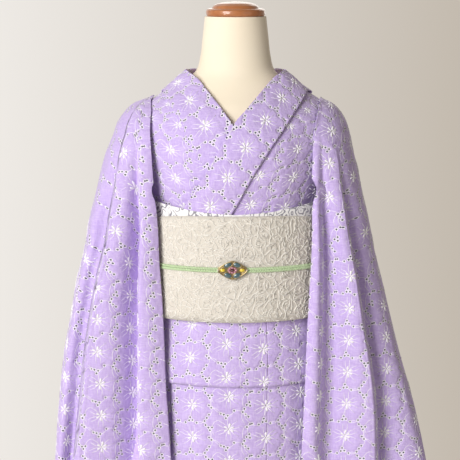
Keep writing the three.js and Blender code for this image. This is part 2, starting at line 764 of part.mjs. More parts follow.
// Brooch threaded on the braid
const BROOCH_X = -5;
const BROOCH_Z = 1051;
const BROOCH_WIDTH = 48;
const BROOCH_HEIGHT = 30;
const BROOCH_PLATE = 2;
const front = sashFace(-90, BROOCH_Z, 0).point.y;
const BROOCH_BACK = front - BRAID_GAP - BRAID_THICK - SEAM_GAP;
function broochPlate() {
  const shape = new THREE.Shape();
  shape.moveTo(BROOCH_WIDTH / 2, 0);
  shape.quadraticCurveTo(BROOCH_WIDTH / 4, BROOCH_HEIGHT / 2, 0, BROOCH_HEIGHT / 2);
  shape.quadraticCurveTo(-BROOCH_WIDTH / 4, BROOCH_HEIGHT / 2, -BROOCH_WIDTH / 2, 0);
  shape.quadraticCurveTo(-BROOCH_WIDTH / 4, -BROOCH_HEIGHT / 2, 0, -BROOCH_HEIGHT / 2);
  shape.quadraticCurveTo(BROOCH_WIDTH / 4, -BROOCH_HEIGHT / 2, BROOCH_WIDTH / 2, 0);
  const plate = new THREE.ExtrudeGeometry(shape, {
    depth: BROOCH_PLATE, bevelEnabled: false, curveSegments: 8,
  });
  return plate.rotateX(Math.PI / 2).translate(BROOCH_X, BROOCH_BACK, BROOCH_Z);
}

const wasm = await Module();
wasm.setup();
function solidOf(geometry) {
  const bare = geometry.clone();
  bare.deleteAttribute('normal');
  bare.deleteAttribute('uv');
  const merged = mergeVertices(bare, 1e-3);
  return new wasm.Manifold(new wasm.Mesh({
    numProp: 3,
    vertProperties: new Float32Array(merged.attributes.position.array),
    triVerts: new Uint32Array(merged.index.array),
  }));
}

// A domed stone set half into the plate: its middle, its size and its turn
const STONE_DEPTH = 4.4;
function stone(x, z, width, height, turn) {
  const geometry = new THREE.SphereGeometry(0.5, 10, 6).scale(width, STONE_DEPTH, height);
  geometry.rotateY(turn);
  return solidOf(geometry.translate(BROOCH_X + x, BROOCH_BACK - BROOCH_PLATE, BROOCH_Z + z));
}
const PETAL_X = 7;
const PETAL_Z = 8.2;
const PETAL_TURN = 0.35;
const SIDE_X = 15.5;
let brooch = solidOf(broochPlate());
for (const [sx, sz] of [[-1, 1], [1, 1], [-1, -1], [1, -1]]) {
  brooch = brooch.add(stone(sx * PETAL_X, sz * PETAL_Z, 11, 6, sx * sz * PETAL_TURN));
}
brooch = brooch.add(stone(0, 0, 10, 10, 0));
brooch = brooch.add(stone(-SIDE_X, 0, 7, 4.6, 0));
brooch = brooch.add(stone(SIDE_X, 0, 7, 4.6, 0));
const joined = brooch.getMesh();
add('brooch', meshFrom(joined.vertProperties, [...joined.triVerts]), 'bronze');

export default part;
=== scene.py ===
import math

import bmesh
import bpy
import numpy as np
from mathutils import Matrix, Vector


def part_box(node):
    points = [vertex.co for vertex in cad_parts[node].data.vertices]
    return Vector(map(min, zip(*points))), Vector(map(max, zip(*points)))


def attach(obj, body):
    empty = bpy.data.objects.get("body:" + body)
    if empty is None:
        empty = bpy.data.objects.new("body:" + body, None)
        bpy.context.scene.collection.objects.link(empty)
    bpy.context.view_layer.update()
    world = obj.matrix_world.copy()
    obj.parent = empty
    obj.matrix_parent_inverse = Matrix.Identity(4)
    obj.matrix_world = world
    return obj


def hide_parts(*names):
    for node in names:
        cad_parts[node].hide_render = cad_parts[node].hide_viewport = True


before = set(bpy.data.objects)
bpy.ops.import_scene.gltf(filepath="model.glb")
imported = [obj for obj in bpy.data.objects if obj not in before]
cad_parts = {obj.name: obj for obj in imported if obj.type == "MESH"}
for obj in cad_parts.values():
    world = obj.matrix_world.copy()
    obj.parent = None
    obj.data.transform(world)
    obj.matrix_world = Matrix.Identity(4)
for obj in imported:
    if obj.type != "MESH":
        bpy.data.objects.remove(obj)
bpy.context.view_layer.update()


# Stand: a weighted round steel base with a straight pole. The base is spun from plate, its rim
# is rolled, and the pole is a brushed tube pushed into a welded collar and up into the form.
class Signal:
    """A number on its way through a node tree. The usual signs add its Math nodes."""

    def __init__(self, nodes, socket):
        self.nodes = nodes
        self.socket = socket

    def __add__(self, other):
        return self.nodes.math("ADD", self, other)

    def __sub__(self, other):
        return self.nodes.math("SUBTRACT", self, other)

    def __mul__(self, other):
        return self.nodes.math("MULTIPLY", self, other)

    def __truediv__(self, other):
        return self.nodes.math("DIVIDE", self, other)

    __radd__ = __add__
    __rmul__ = __mul__


class Nodes:
    """A node tree that is built from empty, one call at a time."""

    def __init__(self, tree):
        self.tree = tree
        tree.nodes.clear()

    def node(self, kind, settings=None, inputs=None):
        made = self.tree.nodes.new(kind)
        for key, value in (settings or {}).items():
            setattr(made, key, value)
        for key, value in (inputs or {}).items():
            self.feed(made.inputs[key], value)
        return made

    def first(self, kind, inputs=None, **settings):
        """The first output of a new node."""
        return self.node(kind, settings, inputs).outputs[0]

    def feed(self, socket, value):
        if isinstance(value, Signal):
            value = value.socket
        if isinstance(value, bpy.types.NodeSocket):
            self.tree.links.new(value, socket)
        else:
            socket.default_value = value

    def math(self, operation, *values):
        return Signal(self, self.first("ShaderNodeMath", dict(enumerate(values)), operation=operation))

    def step(self, value, low, high, kind="SMOOTHSTEP", least=0.0):
        """least below low, 1 above high and a ramp between them; low may be the larger one."""
        made = self.node("ShaderNodeMapRange", {"interpolation_type": kind}, {
            "Value": value, "From Min": low, "From Max": high, "To Min": least,
        })
        return Signal(self, made.outputs["Result"])

    def mix(self, factor, first, second):
        inputs = {0: factor, 6: first, 7: second}
        return self.node("ShaderNodeMix", {"data_type": "RGBA"}, inputs).outputs[2]


class Finish(Nodes):
    """A material with one Principled shader, whose constant inputs are given by name."""

    def __init__(self, name, **constants):
        self.material = bpy.data.materials.new(name)
        self.material.use_nodes = True
        super().__init__(self.material.node_tree)
        values = {key.replace("_", " "): value for key, value in constants.items()}
        self.shader = self.node("ShaderNodeBsdfPrincipled", None, values)
        self.node("ShaderNodeOutputMaterial", None, {"Surface": self.shader.outputs["BSDF"]})

    def noise(self, scale, detail, stretch=(1, 1, 1), roughness=0.5):
        """Noise over the object's own coordinates, finer along an axis with a larger stretch."""
        place = self.node("ShaderNodeTexCoord").outputs["Object"]
        mapped = self.first("ShaderNodeMapping", {"Vector": place, "Scale": stretch})
        made = self.node("ShaderNodeTexNoise", None, {
            "Vector": mapped, "Scale": scale, "Detail": detail, "Roughness": roughness,
        })
        return Signal(self, made.outputs["Fac"])

    def surface(self, color, roughness, *bumps):
        """Links the colour, the roughness and bumps of (height, distance) one over another."""
        self.feed(self.shader.inputs["Base Color"], color)
        self.feed(self.shader.inputs["Roughness"], roughness)
        under = {}
        for height, distance in bumps:
            inputs = {"Height": height, "Distance": distance, "Strength": 1.0, **under}
            under = {"Normal": self.first("ShaderNodeBump", inputs)}
        for normal in under.values():
            self.feed(self.shader.inputs["Normal"], normal)
        return self.material


def grained(name, dark, light, grain, roughness, vary=0.0, bump=0.0, tone=None, **constants):
    """A two-tone material. One noise gives its grain, and its tone too unless that has its own."""
    made = Finish(name, **constants)
    fine = made.noise(*grain)
    wide = made.noise(*tone) if tone else fine
    bumps = [(fine, bump)] if bump else []
    return made.surface(made.mix(wide, dark, light), roughness + fine * vary, *bumps)


def colour(red, green, blue):
    """A colour given as it looks on a screen, from 0 to 255."""
    def linear(value):
        share = value / 255
        return share / 12.92 if share <= 0.04045 else ((share + 0.055) / 1.055) ** 2.4

    return (linear(red), linear(green), linear(blue), 1.0)


def linked(name, data):
    made = bpy.data.objects.new(name, data)
    bpy.context.scene.collection.objects.link(made)
    return made


def piece(name, mesh, material, slot, *nodes):
    """A finished piece: named, shaded, riding on the part and standing for its CAD nodes."""
    made = linked(name, mesh)
    mesh.materials.clear()
    mesh.materials.append(material)
    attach(made, "root")
    if nodes:
        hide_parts(*nodes)
    return made


def fill(mesh, shape):
    """Puts a bmesh into a mesh, its faces turned outwards and shaded smooth."""
    bmesh.ops.recalc_face_normals(shape, faces=shape.faces)
    shape.to_mesh(mesh)
    shape.free()
    mesh.shade_smooth()
    return mesh


EDGE_ANGLE = math.radians(40)


def polar(x, y, radius, angle):
    return x + radius * math.cos(angle), y + radius * math.sin(angle)


def turned(profile, sides, middle=(0.0, 0.0)):
    """A closed turned mesh from an outline of (radius, height), lowest and inmost first."""
    shape = bmesh.new()
    rings = []
    for radius, height in profile:
        ring = []
        for k in range(sides if radius else 1):
            a = 2 * math.pi * k / sides
            ring.append(shape.verts.new((*polar(*middle, radius, a), height)))
        rings.append(ring)
    for low, high in zip(rings, rings[1:]):
        for k in range(sides):
            a, b = low[k % len(low)], low[(k + 1) % len(low)]
            c, d = high[(k + 1) % len(high)], high[k % len(high)]
            corners = list(dict.fromkeys((a, b, c, d)))
            if len(corners) > 2:
                shape.faces.new(corners)
    mesh = fill(bpy.data.meshes.new("turned"), shape)
    mesh.set_sharp_from_angle(angle=EDGE_ANGLE)
    return mesh


def rounded(corners, radius, steps=5):
    """An outline with each inner corner rounded by a short arc."""
    out = [corners[0]]
    for before, corner, after in zip(corners, corners[1:], corners[2:]):
        b, c, a = Vector(before), Vector(corner), Vector(after)
        reach = min(radius, (b - c).length * 0.45, (a - c).length * 0.45)
        start, end = c + (b - c).normalized() * reach, c + (a - c).normalized() * reach
        for k in range(steps + 1):
            t = k / steps
            out.append(tuple(start.lerp(c, t).lerp(c.lerp(end, t), t)))
    out.append(corners[-1])
    return out


BASE_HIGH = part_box("stand_base")[1]
POLE_LOW, POLE_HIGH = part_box("stand_pole")
BASE_RADIUS = BASE_HIGH[0]
COLLAR_RADIUS = 0.022
PLATE_TOP = 0.014

steel = grained(
    "brushed steel", colour(168, 170, 174), colour(206, 207, 210), (4.0, 3.0, (60, 60, 900)),
    0.28, 0.16, 0.00004, Metallic=1.0,
)
base_outline = rounded([
    (0, 0), (BASE_RADIUS, 0), (BASE_RADIUS, 0.006), (BASE_RADIUS - 0.01, PLATE_TOP),
    (COLLAR_RADIUS + 0.004, PLATE_TOP + 0.004), (COLLAR_RADIUS, PLATE_TOP + 0.008),
    (COLLAR_RADIUS, BASE_HIGH[2]), (0, BASE_HIGH[2]),
], 0.003)
piece("stand_plate", turned(base_outline, 96), steel, "steel", "stand_base")
pole_outline = rounded([
    (0, POLE_LOW[2]), (POLE_HIGH[0], POLE_LOW[2]), (POLE_HIGH[0], POLE_HIGH[2]), (0, POLE_HIGH[2]),
], 0.001)
piece("stand_tube", turned(pole_outline, 48), steel, "steel", "stand_pole")


# Dress form: a limbless torso and neck, laid up as one smooth shell and covered in cream
# jersey. Only its neck shows above the collar; below, it carries the cloth at the shoulders.
MIDDLE = 6.0
FORM = [
    (792, 112, 78, 92), (800, 130, 90, 106), (850, 140, 98, 114), (900, 138, 100, 108),
    (968, 126, 95, 92), (1040, 118, 92, 85), (1100, 130, 99, 92), (1150, 148, 108, 99),
    (1200, 164, 109, 103), (1240, 170, 106, 103), (1262, 166, 98, 99), (1280, 155, 90, 94),
    (1297, 137, 83, 87), (1311, 115, 71, 78), (1326, 90, 60, 66), (1345, 64, 48, 56),
    (1368, 56, 44, 51), (1400, 52, 44, 48), (1432, 48.5, 44, 46),
]


def column(table, height, index):
    """One column of a table at some heights, on the smooth curve through its rows."""
    rows = np.array(table, float)
    x, y = rows[:, 0], rows[:, index]
    last = len(x) - 1
    high, low = np.minimum(np.arange(last + 1) + 1, last), np.maximum(np.arange(last + 1) - 1, 0)
    slope = (y[high] - y[low]) / (x[high] - x[low])
    h = np.clip(np.asarray(height, float), x[0], x[-1])
    k = np.clip(np.searchsorted(x, h, side="right") - 1, 0, last - 1)
    span = x[k + 1] - x[k]
    t = (h - x[k]) / span
    return (
        (2 * t**3 - 3 * t**2 + 1) * y[k] + (t**3 - 2 * t**2 + t) * span * slope[k]
        + (3 * t**2 - 2 * t**3) * y[k + 1] + (t**3 - t**2) * span * slope[k + 1]
    )


def section(table, angle, height):
    """Points of a table's sections: 0 degrees is the left side, -90 the front, 90 the back."""
    angle, height = np.broadcast_arrays(np.asarray(angle, float), np.asarray(height, float))
    s, c = np.sin(np.radians(angle)), np.cos(np.radians(angle))
    depth = np.where(s < 0, column(table, height, 2), column(table, height, 3))
    return np.stack([column(table, height, 1) * c, MIDDLE + depth * s, height], axis=-1)


def grid_mesh(name, points, weave=None, keep=None, loop=False):
    """A smooth mesh over a grid of points in millimetres, with its weave map in metres."""
    rows, across = points.shape[:2]
    columns = np.arange(across if loop else across - 1)
    i, j = np.meshgrid(np.arange(rows - 1), columns, indexing="ij")
    if keep is not None:
        i, j = i[keep], j[keep]
    low, high = i.ravel() * across, (i.ravel() + 1) * across
    left, right = j.ravel(), (j.ravel() + 1) % across
    faces = np.stack([low + left, low + right, high + right, high + left], 1)
    mesh = bpy.data.meshes.new(name)
    mesh.from_pydata((points.reshape(-1, 3) * 0.001).tolist(), [], faces.tolist())
    if weave is not None:
        layer = mesh.uv_layers.new(name="weave")
        corner = np.zeros(len(mesh.loops), np.int32)
        mesh.loops.foreach_get("vertex_index", corner)
        layer.data.foreach_set("uv", weave.reshape(-1, 2)[corner].astype(np.float32).ravel())
    mesh.shade_smooth()
    return mesh


FORM_RINGS = 90
FORM_SIDES = 96

jersey = grained(
    "cream jersey", colour(246, 232, 206), colour(252, 241, 220), (1.0, 2.0, (900, 900, 500)),
    0.62, 0.15, 0.0001, tone=(9.0, 3.0), Specular_IOR_Level=0.35, Sheen_Weight=0.15,
)
heights = np.linspace(FORM[0][0], FORM[-1][0], FORM_RINGS)
angles = np.arange(FORM_SIDES) / FORM_SIDES * 360
form_mesh = grid_mesh("form_skin", section(FORM, angles[None, :], heights[:, None]), loop=True)
shape = bmesh.new()
shape.from_mesh(form_mesh)
bmesh.ops.holes_fill(shape, edges=shape.edges)
fill(form_mesh, shape)
form_mesh.set_sharp_from_angle(angle=EDGE_ANGLE)
form_skin = piece("form_skin", form_mesh, jersey, "form", "form_torso")


# Neck cap: turned beech in two steps, stained orange and varnished, seated on the neck with
# a dowel. A dark line is cut between the rim and the low dome.
CAP_LOW, CAP_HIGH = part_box("form_cap")
CAP_RIM = (CAP_HIGH[0] - CAP_LOW[0]) / 2

wood = grained(
    "varnished beech", colour(150, 84, 44), colour(208, 138, 86), (1.0, 2.0, (80, 900, 900)),
    0.3, 0.1, 0.00003, tone=(3.0, 4.0, (9, 60, 60), 0.6), Coat_Weight=0.7, Coat_Roughness=0.12,
)
# Steps of the turned edge: how far inside the rim and how high above the cap's foot
CAP_STEPS = [
    (0.002, 0), (0, 0.003), (0, 0.009), (0.003, 0.0115), (0.0078, 0.0122), (0.0088, 0.0112),
    (0.0098, 0.0135), (0.012, 0.0165), (0.019, 0.0198),
]
cap_outline = [(CAP_RIM - inside, CAP_LOW[2] + up) for inside, up in CAP_STEPS]
cap_outline = rounded([
    (0, CAP_LOW[2]), *cap_outline, (CAP_RIM - 0.031, CAP_HIGH[2] - 0.0008), (0, CAP_HIGH[2]),
], 0.0012)
cap_middle = ((CAP_LOW[0] + CAP_HIGH[0]) / 2, (CAP_LOW[1] + CAP_HIGH[1]) / 2)
piece("neck_cap", turned(cap_outline, 96, cap_middle), wood, "wood", "form_cap")


# Skirt: the lower stretch of the body panels and overlap panels, plain woven cotton dyed
# lavender, wrapped left over right. Each panel is a straight strip with selvedges at its seams.
WORN = [
    (45, 150, 106, 112), (300, 152, 108, 114), (600, 156, 110, 118), (870, 160, 111, 121),
    (960, 152, 108, 112), (1000, 146, 105, 104), (1060, 144, 104, 100), (1125, 148, 108, 103),
    (1180, 160, 116, 108), (1220, 171, 116, 110), (1250, 174, 110, 107), (1270, 167, 102, 102),
    (1290, 149, 91, 95), (1304, 128, 81, 87), (1318, 106, 69, 78), (1332, 90, 57, 68),
    (1346, 76, 45, 56),
]
SEAM_HEIGHT = 1000
HEM_HEIGHT = 45
SEAM_GAP = 0.1
CLOTH = 1.4
CLOTH_MADE = 1.0
# How far to each side the slope of the worn surface is taken: millimetres up, degrees round
REACH_UP = 3
REACH_ROUND = 2


def smooth(value, low, high):
    t = np.clip((value - low) / (high - low), 0, 1)
    return t * t * (3 - 2 * t)


def worn_normal(angle, height):
    below = np.maximum(WORN[0][0], height - REACH_UP)
    up = section(WORN, angle, height + REACH_UP) - section(WORN, angle, below)
    along = section(WORN, angle + REACH_ROUND, height) - section(WORN, angle - REACH_ROUND, height)
    normal = np.cross(along, up)
    return normal / np.linalg.norm(normal, axis=-1, keepdims=True)


def worn(angle, height, lift):
    """Points of the worn surface, lifted outwards."""
    angle, height = np.broadcast_arrays(np.asarray(angle, float), np.asarray(height, float))
    return section(WORN, angle, height) + worn_normal(angle, height) * np.asarray(lift)[..., None]


def front_angle(x, height):
    return -np.degrees(np.arccos(np.clip(x / column(WORN, height, 1), -1, 1)))


def grid_normals(points):
    normal = np.cross(np.gradient(points, axis=1), np.gradient(points, axis=0))
    return normal / np.maximum(np.linalg.norm(normal, axis=-1, keepdims=True), 1e-9)


def level_weave(points, anchor=0, phase=(0.0, 0.0)):
    """Weave map of hanging cloth: metres run level from the anchor column, and metres up."""
    steps = np.linalg.norm(np.diff(points[..., :2], axis=1), axis=-1)
    run = np.concatenate([np.zeros((len(points), 1)), np.cumsum(steps, axis=1)], axis=1)
    run = run - run[:, anchor:anchor + 1]
    climbs = np.linalg.norm(np.diff(points, axis=0), axis=-1)
    climb = np.concatenate([np.zeros((1, points.shape[1])), np.cumsum(climbs, axis=0)], axis=0)
    climb = climb + points[:1, :, 2]
    return np.stack([run * 0.001 + phase[0], climb * 0.001 + phase[1]], axis=-1)


def crease(points, weave, troughs):
    """Presses soft troughs into cloth: start and end on the weave, half width, depth (mm)."""
    normals = grid_normals(points)
    depth = np.zeros(points.shape[:2])
    for u0, v0, u1, v1, half, deep in troughs:
        line = np.array([u1 - u0, v1 - v0])
        length = float(np.hypot(*line))
        offset = weave - np.array([u0, v0])
        t = np.clip((offset @ line) / length**2, 0, 1)
        away = np.linalg.norm(offset - t[..., None] * line, axis=-1)
        depth += deep * np.exp(-((away / half) ** 2)) * np.sin(np.pi * np.clip(t, 0.04, 0.96)) ** 0.6
    return points - normals * depth[..., None]


def cloth_piece(name, points, weave, material, slot, node, wall=CLOTH, thickness=CLOTH_MADE, keep=None):
    """A sheet of cloth in the middle of its CAD wall, with its own thickness."""
    middle = points + grid_normals(points) * (wall / 2)
    made = piece(name, grid_mesh(name, middle, weave, keep), material, slot, node)
    shell = made.modifiers.new("thickness", "SOLIDIFY")
    shell.thickness = thickness * 0.001
    shell.offset = 0.0
    return made


# The pattern repeats over a pair of flowers: one at the middle of the repeat, and one upside
# down beside it and a little higher. Eyelets in millimetres from the first flower's middle
REPEAT_WIDE = 0.1135
REPEAT_HIGH = 0.053
SECOND_FLOWER = (56.75, 15.6)
EYELETS = [
    (7, -29.5), (-21.5, -28.9), (-11, -30.6), (-5.2, -26.8), (-3.4, -21.4), (0.2, -25.9), (19.5, -25.7),
    (23, -20.3), (26.5, -14.8), (26.4, 0.6), (30, -3.2), (21, 20.8), (25.4, 16.9), (31, 17.3),
    (27.6, 12.6), (-25.4, 6.8), (-29.6, 2.4), (-24.4, 0.9), (-33.2, -4.1), (-24.6, 23.5), (-29.2, 18.8),
    (64.8, -7), (44.5, -12.2), (49.2, -13.7), (55, -15.2), (52.2, -19.5), (77.8, -9.2), (82, -13.2),
    (86.6, -17.1),
]
# Radii in millimetres of the eyelet holes, which are painted dark as painted shade seen through them, and
# of the white rings round them
HOLE = 1.4
HOLE_BLUR = 0.2
RING = 2.6
RING_BLUR = 0.3

cotton = Finish("eyelet cotton", Specular_IOR_Level=0.25, Sheen_Weight=0.25, Sheen_Roughness=0.6)
weave_map = cotton.first("ShaderNodeUVMap", uv_map="weave")
spot = cotton.first("ShaderNodeVectorMath", {0: weave_map, "Scale": 1000.0}, operation="SCALE")


def from_spot(x, y):
    """Distance in millimetres to the nearest repeat of a place in the pattern."""
    wide, high = REPEAT_WIDE * 500, REPEAT_HIGH * 500
    inputs = {0: spot, 1: (x + wide, y + high, 0), 2: (x - wide, y - high, 0)}
    wrapped = cotton.first("ShaderNodeVectorMath", inputs, operation="WRAP")
    made = cotton.node("ShaderNodeVectorMath", {"operation": "DISTANCE"}, {0: wrapped, 1: (x, y, 0)})
    return Signal(cotton, made.outputs["Value"])


away = from_spot(*EYELETS[0])
for eyelet in EYELETS[1:]:
    away = cotton.math("MINIMUM", away, from_spot(*eyelet))
from_flower = cotton.math("MINIMUM", from_spot(0, 0), from_spot(*SECOND_FLOWER))
hole_shade = cotton.step(away, HOLE + HOLE_BLUR, HOLE - HOLE_BLUR)
ring = cotton.step(away, RING + RING_BLUR, RING - RING_BLUR)
pucker = cotton.step(from_flower, 4.0, 20.0) * cotton.step(away, 0.5, 6.0)
threads = cotton.noise(1.0, 2.0, (700, 700, 90)) + cotton.noise(1.0, 2.0, (90, 90, 900))
crumple = cotton.noise(55.0, 3.0, roughness=0.55)
dye_and_hole_shade = cotton.mix(cotton.noise(7.0, 2.0), colour(190, 165, 226), colour(202, 179, 234))
dye_and_hole_shade = cotton.mix(cotton.step(threads, 0.75, 1.3), dye_and_hole_shade, colour(213, 194, 240))
dye_and_hole_shade = cotton.mix(ring, dye_and_hole_shade, colour(250, 246, 255))
# The eyelet holes are not cut: they are painted dark purple, painted shade that stands for the shadow seen
# through a hole
dye_and_hole_shade = cotton.mix(hole_shade, dye_and_hole_shade, colour(44, 20, 72))
cotton_finish = cotton.surface(
    dye_and_hole_shade, 0.82 + crumple * 0.1, (crumple, 0.0023), (pucker, 0.0014), (threads, 0.00012), (ring, 0.0004)
)

SKIRT_TOP = SEAM_HEIGHT - 0.4
SEAM_RADIUS = 120
COLUMNS_A_DEGREE = 1.3


def wrap(name, node, start, end, lift, bottom=HEM_HEIGHT, top=SKIRT_TOP, rows=32, wall=CLOTH,
         thickness=CLOTH_MADE, troughs=(), phase=(0.0, 0.0), anchor=0, tilt=0.0):
    """A stretch of cloth round the lower body, between two angles and two heights."""
    trim = math.degrees(SEAM_GAP / 2 / SEAM_RADIUS)
    count = round((end - start) * COLUMNS_A_DEGREE)
    angle = np.linspace(start + trim, end - trim, count + 1)[None, :]
    height = np.linspace(bottom, top, rows + 1)[:, None]
    angle, height = np.broadcast_arrays(angle, height)
    points = worn(angle, height, lift(angle, height))
    weave = level_weave(points)
    run = weave[..., 0].mean(axis=0)
    run = run - run[anchor]
    weave[..., 0] = run + phase[0]
    weave[..., 1] += phase[1] + tilt * run
    points = crease(points, weave, troughs)
    return cloth_piece(name, points, weave, cotton_finish, "cotton", node, wall, thickness)


def over_lift(angle, height):
    return 2.4 * smooth(-angle, 2, 24)


def flush(angle, height):
    return np.zeros(np.shape(angle))


OVERLAP_SEAM = -72
OVER_EDGE = -129
FRONT_PHASE = (0.002, 0.0203)
SKIRT_TROUGHS = [
    (-0.03, 0.80, -0.045, 0.30, 0.012, 1.8), (0.02, 0.83, 0.005, 0.56, 0.009, 1.2),
]
skirt_pieces = [
    wrap("skirt_left_back", "skirt_back_left", 0, 90, flush),
    wrap("skirt_right_back", "skirt_back_right", 90, 180, flush, phase=(0.02, 0.01)),
    wrap("skirt_right_front", "skirt_front_under", -180, -98, flush, phase=(0.012, 0.03)),
    wrap("overlap_right", "okumi_under", -98, -42, flush, phase=(0.03, 0.02)),
    wrap("skirt_left_front", "skirt_front_over", OVERLAP_SEAM, 0, over_lift, phase=FRONT_PHASE),
    wrap("overlap_left", "okumi_over", OVER_EDGE, OVERLAP_SEAM, over_lift, phase=FRONT_PHASE,
         anchor=-1, troughs=SKIRT_TROUGHS, rows=60),
]


# Tuck: the length of the body panels that is too much for the wearer, doubled below the sash.
# It is only folded and held by the sash, so its lower edge is full and soft.
TUCK_TOP = 984
TUCK_BOTTOM = 860
TUCK_CLOTH = 2.6
TUCK_MADE = 2.2
TUCK_RADIUS = 0.142
TUCK_PHASE = (0.007, -0.0214)
TUCK_TILT = -0.138
TUCK_TROUGHS = [
    (0.035, 0.955, 0.075, 0.90, 0.010, 1.3), (0.060, 0.965, 0.105, 0.915, 0.007, 1.0),
    (-0.010, 0.87, 0.045, 0.862, 0.008, 0.9),
]
TUCKS = [
    ("tuck_left_front", "tuck_front_left", OVERLAP_SEAM, 0, TUCK_PHASE, 0),
    ("tuck_left_overlap", "tuck_okumi_left", -150, OVERLAP_SEAM, TUCK_PHASE, -1),
    ("tuck_right_front", "tuck_front_right", -180, -150, (0.02, 0.02), 0),
    ("tuck_left_back", "tuck_back_left", 0, 90, (0.0, 0.01), 0),
    ("tuck_right_back", "tuck_back_right", 90, 180, (0.04, 0.01), 0),
]


def tuck_lift(angle, height):
    return 4.2 + 2.2 * smooth(TUCK_TOP - height, 0, 100)


tuck_pieces = []
for name, node, start, end, phase, anchor in TUCKS:
    made = wrap(name, node, start, end, tuck_lift, TUCK_BOTTOM, TUCK_TOP, 26, TUCK_CLOTH, TUCK_MADE,
                TUCK_TROUGHS, phase, anchor, TUCK_TILT)
    width = math.radians(end - start) * TUCK_RADIUS
    tuck_pieces.append(made)


# Body above the sash: one strip on each side runs from the waist over the shoulder and down
# the back, joined at the middle of the back, open down the side where the sleeve is set in.
PANEL_EDGE = [
    (1000, -86, 70), (1100, -36, 34), (1144, -10, 0), (1193, 16, -31), (1233, 42, -56),
    (1266, 67, -74), (1284, 80, -84), (1300, 93, -95), (1316, 103, -104),
]
PANEL_NECK = [(1286, 90), (1290, 74), (1297, 56), (1306, 34), (1312, 14), (1316, 3)]
# The left front's lift over the right one, and where and over what width it fades out
OVER_LIFT = 5.7
OVER_SIDE, OVER_SIDE_FADE = 118, 50
OVER_TOP, OVER_TOP_FADE = 1290, 60
ARMHOLE = (1125, 1256)
SHOULDER = 1280
PANEL_TOP = 1316
HALF_COLUMNS = 44
ARMHOLE_COLUMNS = 3
BODY_PHASE = {1: (0.02, 0.012), -1: (0.045, 0.031)}
BODY_TROUGHS = {
    1: [(0.05, 1.15, 0.0, 1.27, 0.012, 2.4), (-0.06, 1.16, -0.015, 1.25, 0.008, 1.8)],
    -1: [(0.06, 1.16, 0.0, 1.26, 0.012, 2.4), (0.09, 1.14, 0.05, 1.22, 0.008, 1.9),
         (0.12, 1.13, 0.03, 1.19, 0.007, 1.4)],
}


def body_panel(side):
    body, yoke = np.linspace(SEAM_HEIGHT, SHOULDER, 60)[:-1], np.linspace(SHOULDER, PANEL_TOP, 24)
    height = np.concatenate([body, yoke])[:, None]
    edge = front_angle(side * column(PANEL_EDGE, height, 1 if side > 0 else 2), height)
    back = np.where(height <= PANEL_NECK[0][0], 89.8, column(PANEL_NECK, height, 1))
    share = np.linspace(0, 2, 2 * HALF_COLUMNS + 1)[None, :]
    angle = np.where(share < 1, edge * (1 - share), back * (share - 1))
    angle, height = np.broadcast_arrays(angle, height)
    x = section(WORN, angle, height)[..., 0]
    lift = np.zeros(angle.shape)
    if side > 0:
        faded = smooth(OVER_SIDE - x, 0, OVER_SIDE_FADE) * smooth(OVER_TOP - height, 0, OVER_TOP_FADE)
        lift = OVER_LIFT * faded * (angle < 0)
    points = worn(angle, height, lift)
    keep = np.ones((len(points) - 1, 2 * HALF_COLUMNS), bool)
    level = (height[:-1, 0] > ARMHOLE[0]) & (height[1:, 0] < ARMHOLE[1])
    keep[level, HALF_COLUMNS:HALF_COLUMNS + ARMHOLE_COLUMNS] = False
    if side < 0:
        points[..., 0] *= -1
        points, keep = points[:, ::-1], keep[:, ::-1]
    weave = level_weave(points, HALF_COLUMNS, BODY_PHASE[side])
    return crease(points, weave, BODY_TROUGHS[side]), weave, keep


body_pieces = []
for side, name, node in ((1, "body_left", "body_left_upper"), (-1, "body_right", "body_right_upper")):
    points, weave, keep = body_panel(side)
    made = cloth_piece(name, points, weave, cotton_finish, "cotton", node, keep=keep)
    body_pieces.append(made)


# Collar: a long straight strip folded lengthways, sewn to the fronts and round the neck, drawn
# back behind the neck. The left end crosses over the right one and both run under the sash.
OVER_COLLAR = [
    (71, 1345, 111, 1313, 3.6), (58, 1336, 101, 1300, 3.2), (44, 1322, 88, 1284, 3.2),
    (29, 1305, 75, 1266, 5.4), (13, 1287, 62, 1249, 7.4), (-3, 1269, 50, 1233, 8.5),
    (-30, 1224, 24, 1193, 8.5), (-58, 1177, -2, 1144, 8.2), (-84, 1132, -28, 1100, 8.2),
]
UNDER_COLLAR = [
    (-73, 1346, -112, 1315, 3.6), (-58, 1335, -103, 1301, 3.2), (-46, 1322, -92, 1285, 1.9),
    (-32, 1306, -82, 1270, 1.9), (-18, 1289, -74, 1252, 1.9), (-3, 1269, -64, 1233, 1.9),
    (20, 1234, -43, 1200, 1.9), (44, 1194, -18, 1162, 1.9), (66, 1156, 6, 1124, 1.9),
]
NECK_COLLAR = [
    (68, 38, 1347, 106, 44, 1304), (53, 76, 1343, 80, 78, 1293), (28, 103, 1337, 42, 98, 1285),
    (0, 113, 1334, 0, 105, 1282),
]
COLLAR_CLOTH = 2.0
COLLAR_MADE = 1.8
COLLAR_LIFT = 3.2
COLLAR_LENGTHS = 200
COLLAR_ACROSS = 28


def push_out(points, lift):
    """Moves points sideways until they stand clear of the worn surface by lift."""
    half = column(WORN, points[..., 2], 1)
    back = points[..., 1] - MIDDLE
    depth = np.where(back < 0, column(WORN, points[..., 2], 2), column(WORN, points[..., 2], 3))
    angle = np.arctan2(back / depth, points[..., 0] / half)
    flat = worn_normal(np.degrees(angle), points[..., 2])
    run = np.maximum(0.35, np.hypot(flat[..., 0], flat[..., 1]))
    radius = np.hypot(half * np.cos(angle), depth * np.sin(angle))
    share = np.hypot(points[..., 0] / half, back / depth)
    grow = np.maximum(1, (1 + lift / (run * radius)) / share)
    out = points.copy()
    out[..., 0] = points[..., 0] * grow
    out[..., 1] = MIDDLE + back * grow
    return out


